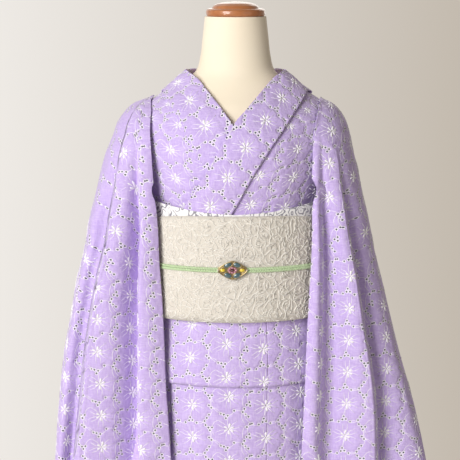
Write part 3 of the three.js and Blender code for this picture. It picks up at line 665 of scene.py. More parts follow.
def through(rows, count):
    """A smooth curve through rows of numbers, at count even steps."""
    rows = np.array(rows, float)
    line = np.concatenate([2 * rows[:1] - rows[1:2], rows, 2 * rows[-1:] - rows[-2:-1]])
    t = np.linspace(0, len(rows) - 1, count)
    k = np.clip(t.astype(int), 0, len(rows) - 2)
    t = (t - k)[:, None]
    a, b, c, d = line[k], line[k + 1], line[k + 2], line[k + 3]
    bend = (c - a) * t + (2 * a - 5 * b + 4 * c - d) * t**2 + (3 * b - a - 3 * c + d) * t**3
    return b + 0.5 * bend


def mix(a, b, t):
    return a * (1 - t) + b * t


def collar_points():
    def front(row):
        ix, iz, ox, oz, lift = row
        inner = worn(front_angle(ix, iz), iz, lift)
        outer = worn(front_angle(ox, oz), oz, lift)
        return [*inner, *outer, lift]

    rows = [front(row) for row in reversed(OVER_COLLAR)]
    rows += [[*row, COLLAR_LIFT] for row in NECK_COLLAR]
    for row in reversed(NECK_COLLAR[:-1]):
        rows.append([-row[0], *row[1:3], -row[3], *row[4:], COLLAR_LIFT])
    rows += [front(row) for row in UNDER_COLLAR]
    line = through(rows, COLLAR_LENGTHS)
    share = np.linspace(0, 1, COLLAR_ACROSS + 1)[:, None]
    points = mix(line[None, :, 3:6], line[None, :, 0:3], share[..., None])
    fold = 0.9 * smooth(share, 0.76, 0.84) + 0.7 * np.exp(-(((share - 0.78) / 0.03) ** 2))
    roll = 0.5 * np.sin(np.pi * share) + 0.4 - fold
    return push_out(points, line[None, :, 6] + roll)


points = collar_points()
steps = np.linalg.norm(np.diff(points[COLLAR_ACROSS // 2], axis=0), axis=1)
length = np.concatenate([[0], np.cumsum(steps)]) * 0.001
width = np.linalg.norm(points[-1] - points[0], axis=-1).mean() * 0.001
share = np.linspace(-0.5, 0.5, COLLAR_ACROSS + 1)[:, None]
weave = np.stack(np.broadcast_arrays(share * width, length[None, :] + 0.012), axis=-1)
collar = cloth_piece("collar_band", points, weave, cotton_finish, "cotton", "collar",
                     COLLAR_CLOTH, COLLAR_MADE)


# Sleeves: each is a strip folded at the shoulder, sewn along the bottom and set into the
# armhole. With no arm in it the sleeve hangs from its seam in long folds, the cuff side down.
SLEEVE_OUTLINE = [
    (455, 297, 344), (600, 299, 331), (700, 296, 315), (804, 289, 293), (891, 280, 268), (950, 269, 253),
    (1007, 259, 239), (1061, 245, 225), (1107, 237, 216), (1152, 225, 205), (1190, 216, 197),
    (1217, 208, 190), (1245, 196, 184), (1265, 189, 178), (1278, 180, 170), (1289, 170, 162),
    (1296, 160, 152), (1303, 140, 136), (1308, 131, 123),
]
# Rows are a height, the inner edge of the right and the left sleeve, and the back's x and y
SLEEVE_EDGE = [
    (715, 101, 104, 104, -92), (761, 104, 106, 140, -68), (810, 107, 108, 166, -44),
    (860, 110, 110, 177, -8), (931, 112, 112, 179, 24), (1000, 115, 115, 173, 46),
    (1060, 119, 118, 160, 64), (1115, 121, 119, 150, 78), (1180, 127, 118, 142, 78),
    (1225, 130, 119, 138, 76), (1260, 132, 120, 134, 68), (1292, 131, 121, 130, 30),
    (1307, 127, 119, 127, 8),
]
SLEEVE_DEPTH = [
    (455, -84, -30), (715, -96, -22), (860, -96, -12), (1000, -96, -4), (1115, -94, 2), (1180, -88, 6),
    (1225, -84, 8), (1260, -72, 8), (1292, -40, 8), (1307, 0, 8),
]
PLEAT_SHARE = [(0, 0.64, 0.54), (0.2, 0.63, 0.54), (0.4, 0.72, 0.58), (0.6, 0.77, 0.59), (0.8, 0.83, 0.55),
               (1, 0.85, 0.52)]
# From the inner edge to the pleat: a place along the cloth, its share of the way across and
# how far back it lies, on the right sleeve and then on the left one
SLEEVE_FOLDS = [
    (0, 0, 0, 0, -2), (0.1, 0.1, -6, 0.09, -9), (0.2, 0.205, -9, 0.16, -8), (0.28, 0.275, -8, 0.215, 2),
    (0.32, 0.295, -1, 0.25, 11), (0.36, 0.287, 13, 0.30, 15), (0.4, 0.283, 29, 0.37, 14),
    (0.45, 0.30, 38, 0.44, 10), (0.51, 0.37, 33, 0.51, 6), (0.6, 0.48, 17, 0.6, 2), (0.7, 0.60, 4, 0.7, -3),
    (0.85, 0.80, -6, 0.85, -9), (0.94, 0.93, -10, 0.94, -10), (1, 1, -12, 1, -8),
]
OUTER_WAVES = [(0, 6, 6), (0.35, 3, 1), (0.7, -3, 4), (1, 0, 0)]
PLEAT_OVERLAP = 9
PLEAT_DEPTH = 8
# Columns of the pleat: how far each goes sideways, and how deep as a share of PLEAT_DEPTH
PLEAT_STEPS = [(0, 0), (1.5, 0.45), (-PLEAT_OVERLAP, 0.75), (-PLEAT_OVERLAP - 1.5, 1.6)]
SLEEVE_TOP = {-1: 1307, 1: 1303}
INNER_END = 715
OUTER_END = 455
INNER_COLUMNS = 25
PLEAT_COLUMNS = 4
OUTER_COLUMNS = 6
FRONT_COLUMNS = INNER_COLUMNS + PLEAT_COLUMNS + OUTER_COLUMNS
BACK_COLUMNS = 9
FIRST_BACK = 0.955
SLEEVE_ROWS = 96
ROW_SPACING = 1.25
SLEEVE_FINE = 3
CUFF = (760, 990)
CLEAR_SKIRT = 11
CLEAR_SASH = 25
CLEAR_SHOULDER = 3.3
CLOSED_BOTTOM = 0.97
SLEEVE_PHASE = {-1: (0.012, 0.004), 1: (0.030, 0.022)}


def sleeve_clearance(height):
    shoulder = smooth(height, 1165, 1200)
    sash = smooth(height, 925, 955) * (1 - shoulder)
    return mix(mix(CLEAR_SKIRT, CLEAR_SHOULDER, shoulder), CLEAR_SASH, sash)


def sleeve_points(side):
    pick = 1 if side < 0 else 2
    fall = (1 - np.linspace(0, 1, SLEEVE_ROWS + 1)) ** ROW_SPACING
    z_in, z_out = mix(SLEEVE_TOP[side], INNER_END, fall), mix(SLEEVE_TOP[side], OUTER_END, fall)
    x_in, x_out = column(SLEEVE_EDGE, z_in, pick), column(SLEEVE_OUTLINE, z_out, pick) - CLOTH
    pleat = column(PLEAT_SHARE, fall, pick)
    pleated = smooth(fall, 0.08, 0.3) * (1 - smooth(fall, 0.9, 0.99))
    spread = np.minimum(0.012, 2 / (x_out + CLOTH - x_in))
    hung = smooth(fall, 0.05, 0.4) * (1 - 0.75 * smooth(fall, 0.875, 0.95))

    def front_at(share):
        along = np.minimum(share / pleat, 1)
        across = mix(along, column(SLEEVE_FOLDS, along, 2 * pick - 1), hung) * pleat
        across = np.where(share < pleat, across, share)
        round_it = np.sqrt(np.maximum(0, 1 - across**2.6))
        flat = mix(round_it, mix(1, 0.62, across), smooth(fall, 0.35, 0.95) * 0.8)
        wave = np.where(
            share < pleat,
            column(SLEEVE_FOLDS, along, 2 * pick),
            column(OUTER_WAVES, (share - pleat) / (1 - pleat), pick),
        )
        y = mix(column(SLEEVE_DEPTH, z_out, 2), column(SLEEVE_DEPTH, z_in, 1), flat)
        return np.stack([mix(x_in, x_out, across), y + wave * hung, mix(z_in, z_out, share)], -1)

    def back_at(share):
        near, outer = front_at(np.full(len(fall), share)), front_at(np.ones(len(fall)))
        x_back = mix(column(SLEEVE_EDGE, z_in, 3), x_in, smooth(fall, 0.93, 1))
        y_back = mix(outer[:, 1], column(SLEEVE_EDGE, z_in, 4), math.sqrt(1 - share**2.2))
        wave = 9 * math.sin(share * math.pi * 3) * smooth(fall, 0.15, 0.6) * (1 - share)
        free = np.stack([mix(x_back, outer[:, 0], share), y_back + wave, near[:, 2]], -1)
        closed = near + np.array([0, 0.7, 0])
        return mix(free, closed, (smooth(fall, 0.9, 1) ** 1.5)[:, None])

    columns = []
    for j in range(FRONT_COLUMNS + BACK_COLUMNS + 1):
        clear = np.ones(len(fall), bool)
        if j <= INNER_COLUMNS:
            point = front_at(pleat * j / INNER_COLUMNS)
        elif j < INNER_COLUMNS + PLEAT_COLUMNS:
            k = j - INNER_COLUMNS
            point, edge = front_at(pleat + spread * k), front_at(pleat)
            point[:, 0] = mix(point[:, 0], edge[:, 0] + PLEAT_STEPS[k][0], pleated)
            point[:, 1] = mix(point[:, 1], edge[:, 1] + PLEAT_STEPS[k][1] * PLEAT_DEPTH, pleated)
        elif j <= FRONT_COLUMNS:
            share = (j - INNER_COLUMNS - PLEAT_COLUMNS) / OUTER_COLUMNS
            point = front_at(mix(pleat + spread * PLEAT_COLUMNS, 1, share))
            point[:, 1] += pleated * 2.2 * PLEAT_DEPTH * (1 - smooth(share, 0, 0.8))
        else:
            share = FIRST_BACK if j == FRONT_COLUMNS + 1 else 1 - (j - FRONT_COLUMNS) / BACK_COLUMNS
            point = back_at(share)
            clear = fall < CLOSED_BOTTOM
        pushed = push_out(point, sleeve_clearance(point[:, 2]))
        columns.append(np.where(clear[:, None], pushed, point))
    coarse = np.stack(columns, axis=0).reshape(len(columns), -1)
    points = through(coarse, (len(columns) - 1) * SLEEVE_FINE + 1)
    points = points.reshape(-1, SLEEVE_ROWS + 1, 3).transpose(1, 0, 2)
    keep = np.ones((SLEEVE_ROWS, points.shape[1] - 1), bool)
    open_rows = (z_out[:-1] < CUFF[1]) & (z_out[:-1] > CUFF[0])
    keep[np.ix_(open_rows, range(FRONT_COLUMNS * SLEEVE_FINE, (FRONT_COLUMNS + 1) * SLEEVE_FINE))] = False
    weave = level_weave(points, 0, SLEEVE_PHASE[side])
    points[..., 0] *= side
    if side < 0:
        weave[..., 0] *= -1
        points, weave, keep = points[:, ::-1], weave[:, ::-1], keep[:, ::-1]
    return points, weave, keep


sleeve_pieces = []
for side, name, node in (
    (-1, "sleeve_right_cloth", "sleeve_right"), (1, "sleeve_left_cloth", "sleeve_left")
):
    points, weave, keep = sleeve_points(side)
    made = cloth_piece(name, points, weave, cotton_finish, "cotton", node, keep=keep)
    sleeve_pieces.append(made)


# Embroidery: white cotton thread, machine sewn through the cloth: a star of six padded satin
# drops in each flower, fine curved rays, and a thin line round every petal.
def thread(shape, path, widths, rise, padded=False):
    """A run of thread: a closed cord along a flat path, in millimetres, rounder where padded."""
    path = np.array(path, float)
    heading = np.gradient(path, axis=0)
    heading /= np.linalg.norm(heading, axis=1, keepdims=True)
    crest = [(-0.55, rise), (0.55, rise)] if padded else [(0, rise)]
    outline = [(1, SUNK), (-1, SUNK), *crest]
    rings = []
    for (x, y), (hx, hy), w in zip(path, heading, widths):
        corners = [(x - hy * w * side, y + hx * w * side, high) for side, high in outline]
        rings.append([shape.verts.new([value * 0.001 for value in corner]) for corner in corners])
    tube(shape, rings)


def tube(shape, rings, closed=False):
    """Faces between rings of points, with caps at the ends unless the rings close."""
    pairs = list(zip(rings, rings[1:]))
    if closed:
        pairs.append((rings[-1], rings[0]))
    for low, high in pairs:
        for k in range(len(low)):
            n = (k + 1) % len(low)
            shape.faces.new((low[k], low[n], high[n], high[k]))
    if not closed:
        shape.faces.new(rings[0][::-1])
        shape.faces.new(rings[-1])


def stitched(name, draw):
    """A hidden pattern of thread that the geometry nodes repeat over the cloth."""
    shape = bmesh.new()
    draw(shape)
    bmesh.ops.triangulate(shape, faces=shape.faces)
    return bpy.data.objects.new(name, fill(bpy.data.meshes.new(name), shape))


DROPS = [(88, 9.2, 1.7), (152, 8.0, 1.6), (212, 8.2, 1.6), (282, 9.8, 2.1), (335, 8.8, 1.8), (28, 8.4, 1.6)]
RAYS = [(72, 20, 10), (112, 19, -9), (140, 18, 9), (172, 21, -8), (196, 19, 8), (232, 20, -10),
        (258, 18, 8), (306, 20, 9), (352, 21, -8), (12, 20, 9), (48, 19, -9)]
DROP_RISE = 0.9
RAY_START = 4
RAY_WIDTHS = [0.75, 0.65, 0.4]
LINE_HALF = 0.55
LINE_RISE = 0.4
SUNK = -0.25
# Curved borders between the eyelets: start, end and how far the middle bulges to the left
BORDERS = [
    (7, -29.5, 19.5, -25.7, -2.5), (0.2, -25.9, 7, -29.5, -1.5), (-11, -30.6, -21.5, -28.9, 2.5),
    (26.5, -14.8, 30, -3.2, -3), (26.4, 0.6, 27.6, 12.6, -3), (21, 20.8, 7, 23.4, -4),
    (-21.5, -28.9, -33.2, -4.1, 5), (-24.4, 0.9, -24.6, 23.5, 4), (-3.4, -21.4, 0, -8.6, 1),
    (31, 17.3, 44.5, 30.3, 4), (31, 17.3, 35.4, 4.3, -2), (44.5, -12.2, 30, -3.2, -3),
    (55, -15.2, 64.8, -7, -2), (64.8, -7, 77.8, -9.2, 2), (49.2, -13.7, 27.6, 12.6, 6),
    (86.6, -17.1, 79.8, -4.1, 3), (83.4, 23.5, 77.8, 43.8, 4), (83.4, 23.5, 79.8, -4.1, -4),
]


def arc(x0, y0, x1, y1, bulge, steps=4):
    """A flat curve between two places, bowed to the left by bulge at its middle."""
    length = math.hypot(x1 - x0, y1 - y0)
    nx, ny = -(y1 - y0) / length, (x1 - x0) / length
    t = np.linspace(0.06, 0.94, steps + 1)
    out = bulge * 4 * t * (1 - t)
    return np.stack([x0 + (x1 - x0) * t + nx * out, y0 + (y1 - y0) * t + ny * out], axis=1)


def draw_flowers(shape):
    for (x, y), flip in (((0, 0), 1), (SECOND_FLOWER, -1)):
        for angle, reach, half in DROPS:
            a = math.radians(angle) * flip
            run = np.array([0.06, 0.45, 0.8, 0.98]) * reach
            widths = np.array([0.45, 0.8, 1.1, 0.6]) * half
            thread(shape, [polar(x, y, r, a) for r in run], widths, DROP_RISE, True)
        for angle, reach, bend in RAYS:
            path = []
            for t in (0.0, 0.5, 1.0):
                a = math.radians(angle + bend * t * t) * flip
                path.append(polar(x, y, RAY_START + (reach - RAY_START) * t, a))
            thread(shape, path, RAY_WIDTHS, LINE_RISE)
    for border in BORDERS:
        path = arc(*border)
        thread(shape, path, [LINE_HALF] * len(path), LINE_RISE)


class Field(Nodes):
    """A Geometry Nodes group with named inputs."""

    def __init__(self, name, kinds):
        super().__init__(bpy.data.node_groups.new(name, "GeometryNodeTree"))
        self.socket("Geometry", "OUTPUT", "Geometry")
        self.socket("Geometry", "INPUT", "Geometry")
        for label, kind in kinds.items():
            self.socket(label, "INPUT", kind)
        outputs = self.node("NodeGroupInput").outputs
        self.given = {socket.name: Signal(self, socket) for socket in outputs if socket.name}

    def socket(self, name, way, kind):
        self.tree.interface.new_socket(name=name, in_out=way, socket_type="NodeSocket" + kind)

    def finish(self, geometry):
        real = self.first("GeometryNodeRealizeInstances", {"Geometry": geometry})
        inputs = {"Geometry": real, "Material": self.given["Material"]}
        self.node("NodeGroupOutput", None, {0: self.first("GeometryNodeSetMaterial", inputs)})
        return self.tree


def enabled(sockets):
    return [socket for socket in sockets if socket.enabled]


def grown(name, mesh, tree, values):
    """The plain mesh that a Geometry Nodes group makes from a mesh, with its inputs set."""
    holder = linked(name + "_base", mesh)
    modifier = holder.modifiers.new("nodes", "NODES")
    modifier.node_group = tree
    for item in tree.interface.items_tree:
        if item.in_out == "INPUT" and item.name in values:
            modifier[item.identifier] = values[item.name]
    made = bpy.data.meshes.new_from_object(holder.evaluated_get(bpy.context.evaluated_depsgraph_get()))
    made.name = name
    bpy.data.objects.remove(holder)
    made.shade_smooth()
    return made


def field_tree():
    """Repeats a pattern over the weave map of a cloth and lays it on the cloth."""
    field = Field("pattern over cloth", {
        "Pattern": "Object", "Material": "Material", "Column pitch": "Float", "Row pitch": "Float",
        "Columns": "Int", "Rows": "Int", "First column": "Float", "First row": "Float",
        "Stagger": "Float", "Turn": "Float", "Lift": "Float", "Seed": "Int",
    })
    given = field.given
    width = (given["Columns"] - 1.0) * given["Column pitch"]
    depth = (given["Rows"] - 1.0) * given["Row pitch"]
    grid = field.first("GeometryNodeMeshGrid", {
        "Size X": width, "Size Y": depth, "Vertices X": given["Columns"], "Vertices Y": given["Rows"],
    })
    position = field.first("GeometryNodeInputPosition")
    split = field.node("ShaderNodeSeparateXYZ", None, {0: position}).outputs
    flat_x, flat_y, flat_z = (Signal(field, socket) for socket in split)
    x = flat_x + (given["First column"] + width * 0.5)
    y = flat_y + (given["First row"] + depth * 0.5)
    number = field.math("ROUND", x / given["Column pitch"])
    shift = field.math("FRACT", number * given["Stagger"]) * given["Row pitch"]
    place = field.first("ShaderNodeCombineXYZ", {0: x, 1: y + shift})
    spots = field.first("GeometryNodeSetPosition", {"Geometry": grid, "Position": place})
    turn = field.node("FunctionNodeRandomValue", {"data_type": "FLOAT"}, {
        "Min": given["Turn"] * -1.0, "Max": given["Turn"], "Seed": given["Seed"],
    })
    pattern = field.node("GeometryNodeObjectInfo", None, {"Object": given["Pattern"], "As Instance": True})
    placed = field.first("GeometryNodeInstanceOnPoints", {
        "Points": spots, "Instance": pattern.outputs["Geometry"],
        "Rotation": field.first("ShaderNodeCombineXYZ", {2: enabled(turn.outputs)[0]}),
    })
    real = field.first("GeometryNodeRealizeInstances", {"Geometry": placed})
    weave = field.node("GeometryNodeInputNamedAttribute", {"data_type": "FLOAT_VECTOR"}, {"Name": "weave"})

    def sampled(value):
        made = field.node("GeometryNodeSampleUVSurface", {"data_type": "FLOAT_VECTOR"}, {
            "Mesh": given["Geometry"], "Source UV Map": enabled(weave.outputs)[0], "Sample UV": position,
        })
        field.feed([socket for socket in enabled(made.inputs) if socket.name == "Value"][0], value)
        return enabled(made.outputs)

    on_cloth, valid = sampled(position)
    outward = sampled(field.first("GeometryNodeInputNormal"))[0]
    missed = field.first("FunctionNodeBooleanMath", {0: valid}, operation="NOT")
    inputs = {"Geometry": real, "Selection": missed}
    rest = field.first("GeometryNodeDeleteGeometry", inputs, domain="POINT")
    inputs = {0: outward, "Scale": flat_z + given["Lift"]}
    raised = field.first("ShaderNodeVectorMath", inputs, operation="SCALE")
    final = field.first("ShaderNodeVectorMath", {0: on_cloth, 1: raised}, operation="ADD")
    return field.finish(field.first("GeometryNodeSetPosition", {"Geometry": rest, "Position": final}))


pattern_over_cloth = field_tree()


def lay_pattern(name, cloths, pattern, material, slot, pitch, lift, stagger=0.0, turn=0.0, seed=1):
    """Covers cloth pieces that share a weave map with a repeated pattern, made a plain mesh."""
    joined = bmesh.new()
    for cloth in cloths:
        joined.from_mesh(cloth.data)
    under = bpy.data.meshes.new("under_" + name)
    joined.to_mesh(under)
    joined.free()
    layer = under.uv_layers["weave"]
    flat = np.zeros(len(layer.data) * 2, np.float32)
    layer.data.foreach_get("uv", flat)
    low, high = flat.reshape(-1, 2).min(axis=0), flat.reshape(-1, 2).max(axis=0)
    first = [math.floor(low[k] / pitch[k]) - 1 for k in (0, 1)]
    count = [math.ceil(high[k] / pitch[k]) + 2 - first[k] for k in (0, 1)]
    mesh = grown(name, under, pattern_over_cloth, {
        "Pattern": pattern, "Material": material, "Column pitch": pitch[0], "Row pitch": pitch[1],
        "Columns": count[0], "Rows": count[1], "First column": first[0] * pitch[0],
        "First row": first[1] * pitch[1], "Stagger": stagger, "Turn": turn, "Lift": lift, "Seed": seed,
    })
    return piece(name, mesh, material, slot)


flowers = stitched("flower_pattern", draw_flowers)
silk = grained(
    "white embroidery thread", colour(244, 240, 250), colour(255, 253, 255),
    (1.0, 1.0, (1500, 1500, 1500)), 0.55, 0.15, 0.0001, Specular_IOR_Level=0.4, Sheen_Weight=0.3,
)
FLOWERS_TUCK = 0.0011
FLOWERS_COLLAR = 0.0009
single = [[cloth] for cloth in (*skirt_pieces[:3], *tuck_pieces[2:], *body_pieces, collar, *sleeve_pieces)]
for cloths in [skirt_pieces[4:], tuck_pieces[:2], *single]:
    lift = CLOTH_MADE * 0.0005
    if cloths[0] in tuck_pieces:
        lift = FLOWERS_TUCK
    if cloths[0] is collar:
        lift = FLOWERS_COLLAR
    lay_pattern("flowers_" + cloths[0].name, cloths, flowers, silk, "cotton",
                (REPEAT_WIDE, REPEAT_HIGH), lift)


# Bustle cloth: thin white crepe with small grey scrolls, folded over the bow's pad, drawn
# forward under the arms and tucked behind the sash's upper edge in front.
AGE_TABLE = [
    (0, 1125, 12.9, 0.8, 11), (20, 1129, 12.9, 0.8, 11), (38, 1134, 12.9, 0.9, 13), (50, 1138, 12.8, 1, 14),
    (60, 1143, 12.6, 1.6, 14), (90, 1153, 15, 4, 16), (125, 1166, 17, 6, 17), (150, 1184, 26, 14, 18),
    (180, 1188, 28, 16, 19),
]


def outwards(angle, height):
    normal = worn_normal(angle, height)
    normal[..., 2] = 0
    return normal / np.linalg.norm(normal, axis=-1, keepdims=True)


crepe = Finish("white crepe", Specular_IOR_Level=0.3, Sheen_Weight=0.3)
swirl = crepe.noise(75.0, 1.2, (1, 1, 0.8))
band = crepe.math("ABSOLUTE", crepe.math("FRACT", swirl * 7.0) - 0.5)
figure = crepe.step(band, 0.22, 0.12) * crepe.step(crepe.noise(30.0, 1.0), 0.40, 0.46)
crinkle = crepe.noise(1.0, 3.0, (300, 300, 900))
crepe_finish = crepe.surface(
    crepe.mix(figure, colour(250, 249, 248), colour(150, 148, 158)), 0.75 + crinkle * 0.1, (crinkle, 0.0006)
)
STEPS = 180
SIDES = 28
turns = np.arange(STEPS) / STEPS
angle = turns * 360 - 90
behind = 180 - np.abs(turns * 360 - 180)
height, lift, half_depth, half_height = (column(AGE_TABLE, behind, k) for k in (1, 2, 3, 4))
middle = worn(angle, height, lift)
ring_angle = ((np.arange(SIDES) + 0.5) / SIDES * 2 * np.pi)[:, None]
fold = 1 + 0.05 * np.sin(3 * ring_angle + turns * 26) * smooth(behind, 50, 110)
sideways = outwards(angle, height) * (half_depth * np.cos(ring_angle) * fold)[..., None]
upwards = np.array([0, 0, 1.0]) * (half_height * np.sin(ring_angle) * fold)[..., None]
points = middle + sideways + upwards
ring_mesh = grid_mesh("bustle_roll", np.concatenate([points, points[:1]], axis=0)[::-1], loop=True)
shape = bmesh.new()
shape.from_mesh(ring_mesh)
bmesh.ops.remove_doubles(shape, verts=shape.verts, dist=1e-6)
bustle = piece("bustle_roll", fill(ring_mesh, shape), crepe_finish, "bustle", "bustle_cloth")


# Sash: heavy ivory cloth with white cord couched over it in close scrolls, wrapped twice round
# the body over a board, 16 cm high. At the back it makes the drum bow, its end and its flap.
SASH_BOTTOM = 966
SASH_TOP = 1124
SASH_RISE = 9
SASH_INNER = 14.2
SASH_CLOTH = 4.2


def sash_face(angle, height, lift):
    """Outer face of the sash, straight from its lower to its upper edge."""
    angle, height = np.broadcast_arrays(np.asarray(angle, float), np.asarray(height, float))
    low, high = section(WORN, angle, SASH_BOTTOM), section(WORN, angle, SASH_TOP + SASH_RISE)
    share = ((height - SASH_BOTTOM) / (SASH_TOP - SASH_BOTTOM))[..., None]
    normal = outwards(angle, np.full(angle.shape, float(SEAM_HEIGHT)))
    points = mix(low, high, share) + normal * (SASH_INNER + SASH_CLOTH + lift)
    points[..., 2] = height
    return points


def run_weave(points):
    """Weave map by mean lengths along the rows and the columns."""
    runs = []
    for axis in (1, 0):
        steps = np.linalg.norm(np.diff(points, axis=axis), axis=-1).mean(axis=1 - axis)
        runs.append(np.concatenate([[0], np.cumsum(steps)]) * 0.001)
    return np.stack(np.meshgrid(*runs), axis=-1)


ground = grained(
    "ivory sash cloth", colour(212, 205, 194), colour(224, 218, 208), (1.0, 2.0, (900, 900, 160)),
    0.7, 0.15, 0.0004, tone=(30.0, 2.0), Specular_IOR_Level=0.35, Sheen_Weight=0.2,
)
couched = grained(
    "white couched cord", colour(233, 228, 219), colour(248, 245, 239), (1.0, 1.0, (1100, 1100, 1100)),
    0.5, 0.2, 0.0002, Specular_IOR_Level=0.45, Sheen_Weight=0.2,
)
CORD_HALF = 0.85
CORD_RISE = 1.2
SCROLL_SIZE = 1.3
SCROLL_PITCH = (0.0200, 0.0188)
PILE = 0.4


def scroll(shape, x, y, reach, turns, start, hand):
    """One curled cord of the scroll pattern."""
    path = []
    for t in np.linspace(0, 1, 6):
        a = math.radians(start + hand * 360 * turns * t)
        path.append(np.array(polar(x, y, reach * (1 - 0.72 * t), a)) * SCROLL_SIZE)
    thread(shape, path, np.array([0.4, 0.95, 1, 1, 0.95, 0.5]) * CORD_HALF, CORD_RISE)


def tendril(shape, *path):
    """One bending cord of the scroll pattern."""
    widths = np.ones(len(path)) * CORD_HALF
    widths[0] = widths[-1] = CORD_HALF * 0.45
    thread(shape, np.array(path) * SCROLL_SIZE, widths, CORD_RISE)


def draw_scrolls(shape):
    scroll(shape, -6, 4.5, 4.6, 0.8, 200, 1)
    scroll(shape, 6.4, -4.2, 4.8, 0.8, 20, 1)
    scroll(shape, 7.4, 7.4, 3.6, 0.7, 120, -1)
    tendril(shape, (-15, -3), (-10, -4.6), (-5, -3.8), (-0.5, -0.6), (4, 2.2), (9, 2.4), (14, 0.4))
    tendril(shape, (-12, 12), (-7, 13.4), (-2, 12.2), (1.5, 8.6), (1.2, 4.6))
    tendril(shape, (12, -12), (6, -13.2), (1, -11.8), (-2.6, -8.6), (-7, -8.2), (-11, -10.4))


scrolls = stitched("scroll_pattern", draw_scrolls)


def lay_scrolls(name, cloth, thickness, seed):
    """Couches the scrolls on the outer face of a stretch of the sash, turned at random."""
    lay_pattern(name, [cloth], scrolls, couched, "sash", SCROLL_PITCH, thickness * 0.0005,
                stagger=0.5, turn=math.pi, seed=seed)


angle = np.linspace(90, 450, 181)[None, :]
sash_top = SASH_TOP + SASH_RISE * smooth(-np.sin(np.radians(angle)), 0.5, 1)
height = mix(SASH_BOTTOM, sash_top, np.linspace(0, 1, 15)[:, None])
points = sash_face(angle, height, -SASH_CLOTH)
sash = cloth_piece("sash_wrap", points, run_weave(points), ground, "sash", "sash_band",
                   SASH_CLOTH, SASH_CLOTH - PILE)
lay_scrolls("sash_scrolls", sash, SASH_CLOTH - PILE, 11)

DRUM_HALF = 148
DRUM_CLOTH = 3.0
DRUM_PROFILE = [
    (145.4, 1040), (145.2, 1000), (150, 970), (168, 957), (188, 962), (203, 985), (210, 1030), (211, 1090),
    (207, 1145), (198, 1184), (180, 1205), (160, 1212), (141, 1207.8),
]
profile = through(DRUM_PROFILE, 96)
x = np.linspace(DRUM_HALF, -DRUM_HALF, 31)[None, :]
crown = 3 * (1 - (x / DRUM_HALF) ** 2)
points = np.stack(np.broadcast_arrays(x, profile[:, :1] + crown, profile[:, 1:]), axis=-1)
drum = cloth_piece("drum_bow", points, run_weave(points), ground, "sash", "sash_drum",
                   DRUM_CLOTH, DRUM_CLOTH - PILE)
lay_scrolls("drum_scrolls", drum, DRUM_CLOTH - PILE, 12)

for name, node, thickness in (("sash_fold_end", "sash_end", 5.6), ("sash_lower_flap", "sash_flap", 2.6)):
    low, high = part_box(node)
    x = np.linspace(high[0], low[0], 31)[None, :] * 1000
    z = np.linspace(low[2], high[2], 13)[:, None] * 1000
    y = np.float64((low[1] + high[1]) * 500)
    points = np.stack(np.broadcast_arrays(x, y, z), axis=-1)
    made = cloth_piece(name, points, run_weave(points), ground, "sash", node, 0, thickness)
    edge = made.modifiers.new("edge", "BEVEL")
    edge.width = thickness * 0.0003
    edge.segments = 3
    lay_scrolls(name + "_scrolls", made, thickness, 13)


# Braid: a flat silk braid in pale green, plaited from eight strands, tied round the sash and
# through the drum. Its strands lie in two slanting rows that meet in the middle.
BRAID_HEIGHT = 1050
BRAID_WIDTH = 8
BRAID_THICK = 3.4
BRAID_GAP = 0.5
STRANDS = 360
STRAND_SIZE = (0.0026, 0.0034, 0.0056)
STRAND_SLANT = 0.62
GUIDE_STEPS = 720

braid_silk = grained(
    "pale green silk", colour(186, 212, 160), colour(214, 232, 194), (1.0, 1.0, (1400, 1400, 1400)),
    0.42, 0.15, 0.0001, Specular_IOR_Level=0.5, Sheen_Weight=0.2,
)


def braid_tree():
    """Slanting strands along a guide line, in two rows that meet in the middle."""
    field = Field("plaited braid", {
        "Strand": "Object", "Material": "Material", "Strands": "Int", "Slant": "Float",
        "Half width": "Float",
    })
    given = field.given
    curve = field.first("GeometryNodeMeshToCurve", {"Mesh": given["Geometry"]})
    inputs = {"Curve": curve, "Count": given["Strands"]}
    points = field.node("GeometryNodeCurveToPoints", {"mode": "COUNT"}, inputs).outputs
    inputs = {"Primary Axis": points["Tangent"], "Secondary Axis": (0.0, 0.0, 1.0)}
    upright = field.first("FunctionNodeAxesToRotation", inputs, primary_axis="X", secondary_axis="Z")
    strand = field.node("GeometryNodeObjectInfo", None, {"Object": given["Strand"], "As Instance": True})
    joined = field.node("GeometryNodeJoinGeometry")
    for side in (1.0, -1.0):
        placed = field.first("GeometryNodeInstanceOnPoints", {
            "Points": points["Points"], "Instance": strand.outputs["Geometry"], "Rotation": upright,
        })
        shift = field.first("ShaderNodeCombineXYZ", {2: given["Half width"] * side})
        moved = field.first("GeometryNodeTranslateInstances", {
            "Instances": placed, "Translation": shift, "Local Space": True,
        })
        turn = field.first("ShaderNodeCombineXYZ", {1: given["Slant"] * side})
        tilted = field.first("GeometryNodeRotateInstances", {
            "Instances": moved, "Rotation": turn, "Local Space": True,
        })
        field.feed(joined.inputs[0], tilted)
    return field.finish(joined.outputs[0])


shape = bmesh.new()
bmesh.ops.create_uvsphere(shape, u_segments=8, v_segments=5, radius=0.5)
bmesh.ops.scale(shape, verts=shape.verts, vec=STRAND_SIZE)
strand = bpy.data.objects.new("strand_pattern", fill(bpy.data.meshes.new("strand"), shape))
angle = np.linspace(-90, 270, GUIDE_STEPS + 1)[:-1]
points = sash_face(angle, BRAID_HEIGHT, BRAID_THICK / 2 + BRAID_GAP) * 0.001
edges = [(k, (k + 1) % GUIDE_STEPS) for k in range(GUIDE_STEPS)]
guide = bpy.data.meshes.new("braid_guide")
guide.from_pydata(points.tolist(), edges, [])
braid_mesh = grown("braid_plait", guide, braid_tree(), {
    "Strand": strand, "Material": braid_silk, "Strands": STRANDS, "Slant": STRAND_SLANT,
    "Half width": BRAID_WIDTH * 0.00025,
})
piece("braid_plait", braid_mesh, braid_silk, "braid", "braid")


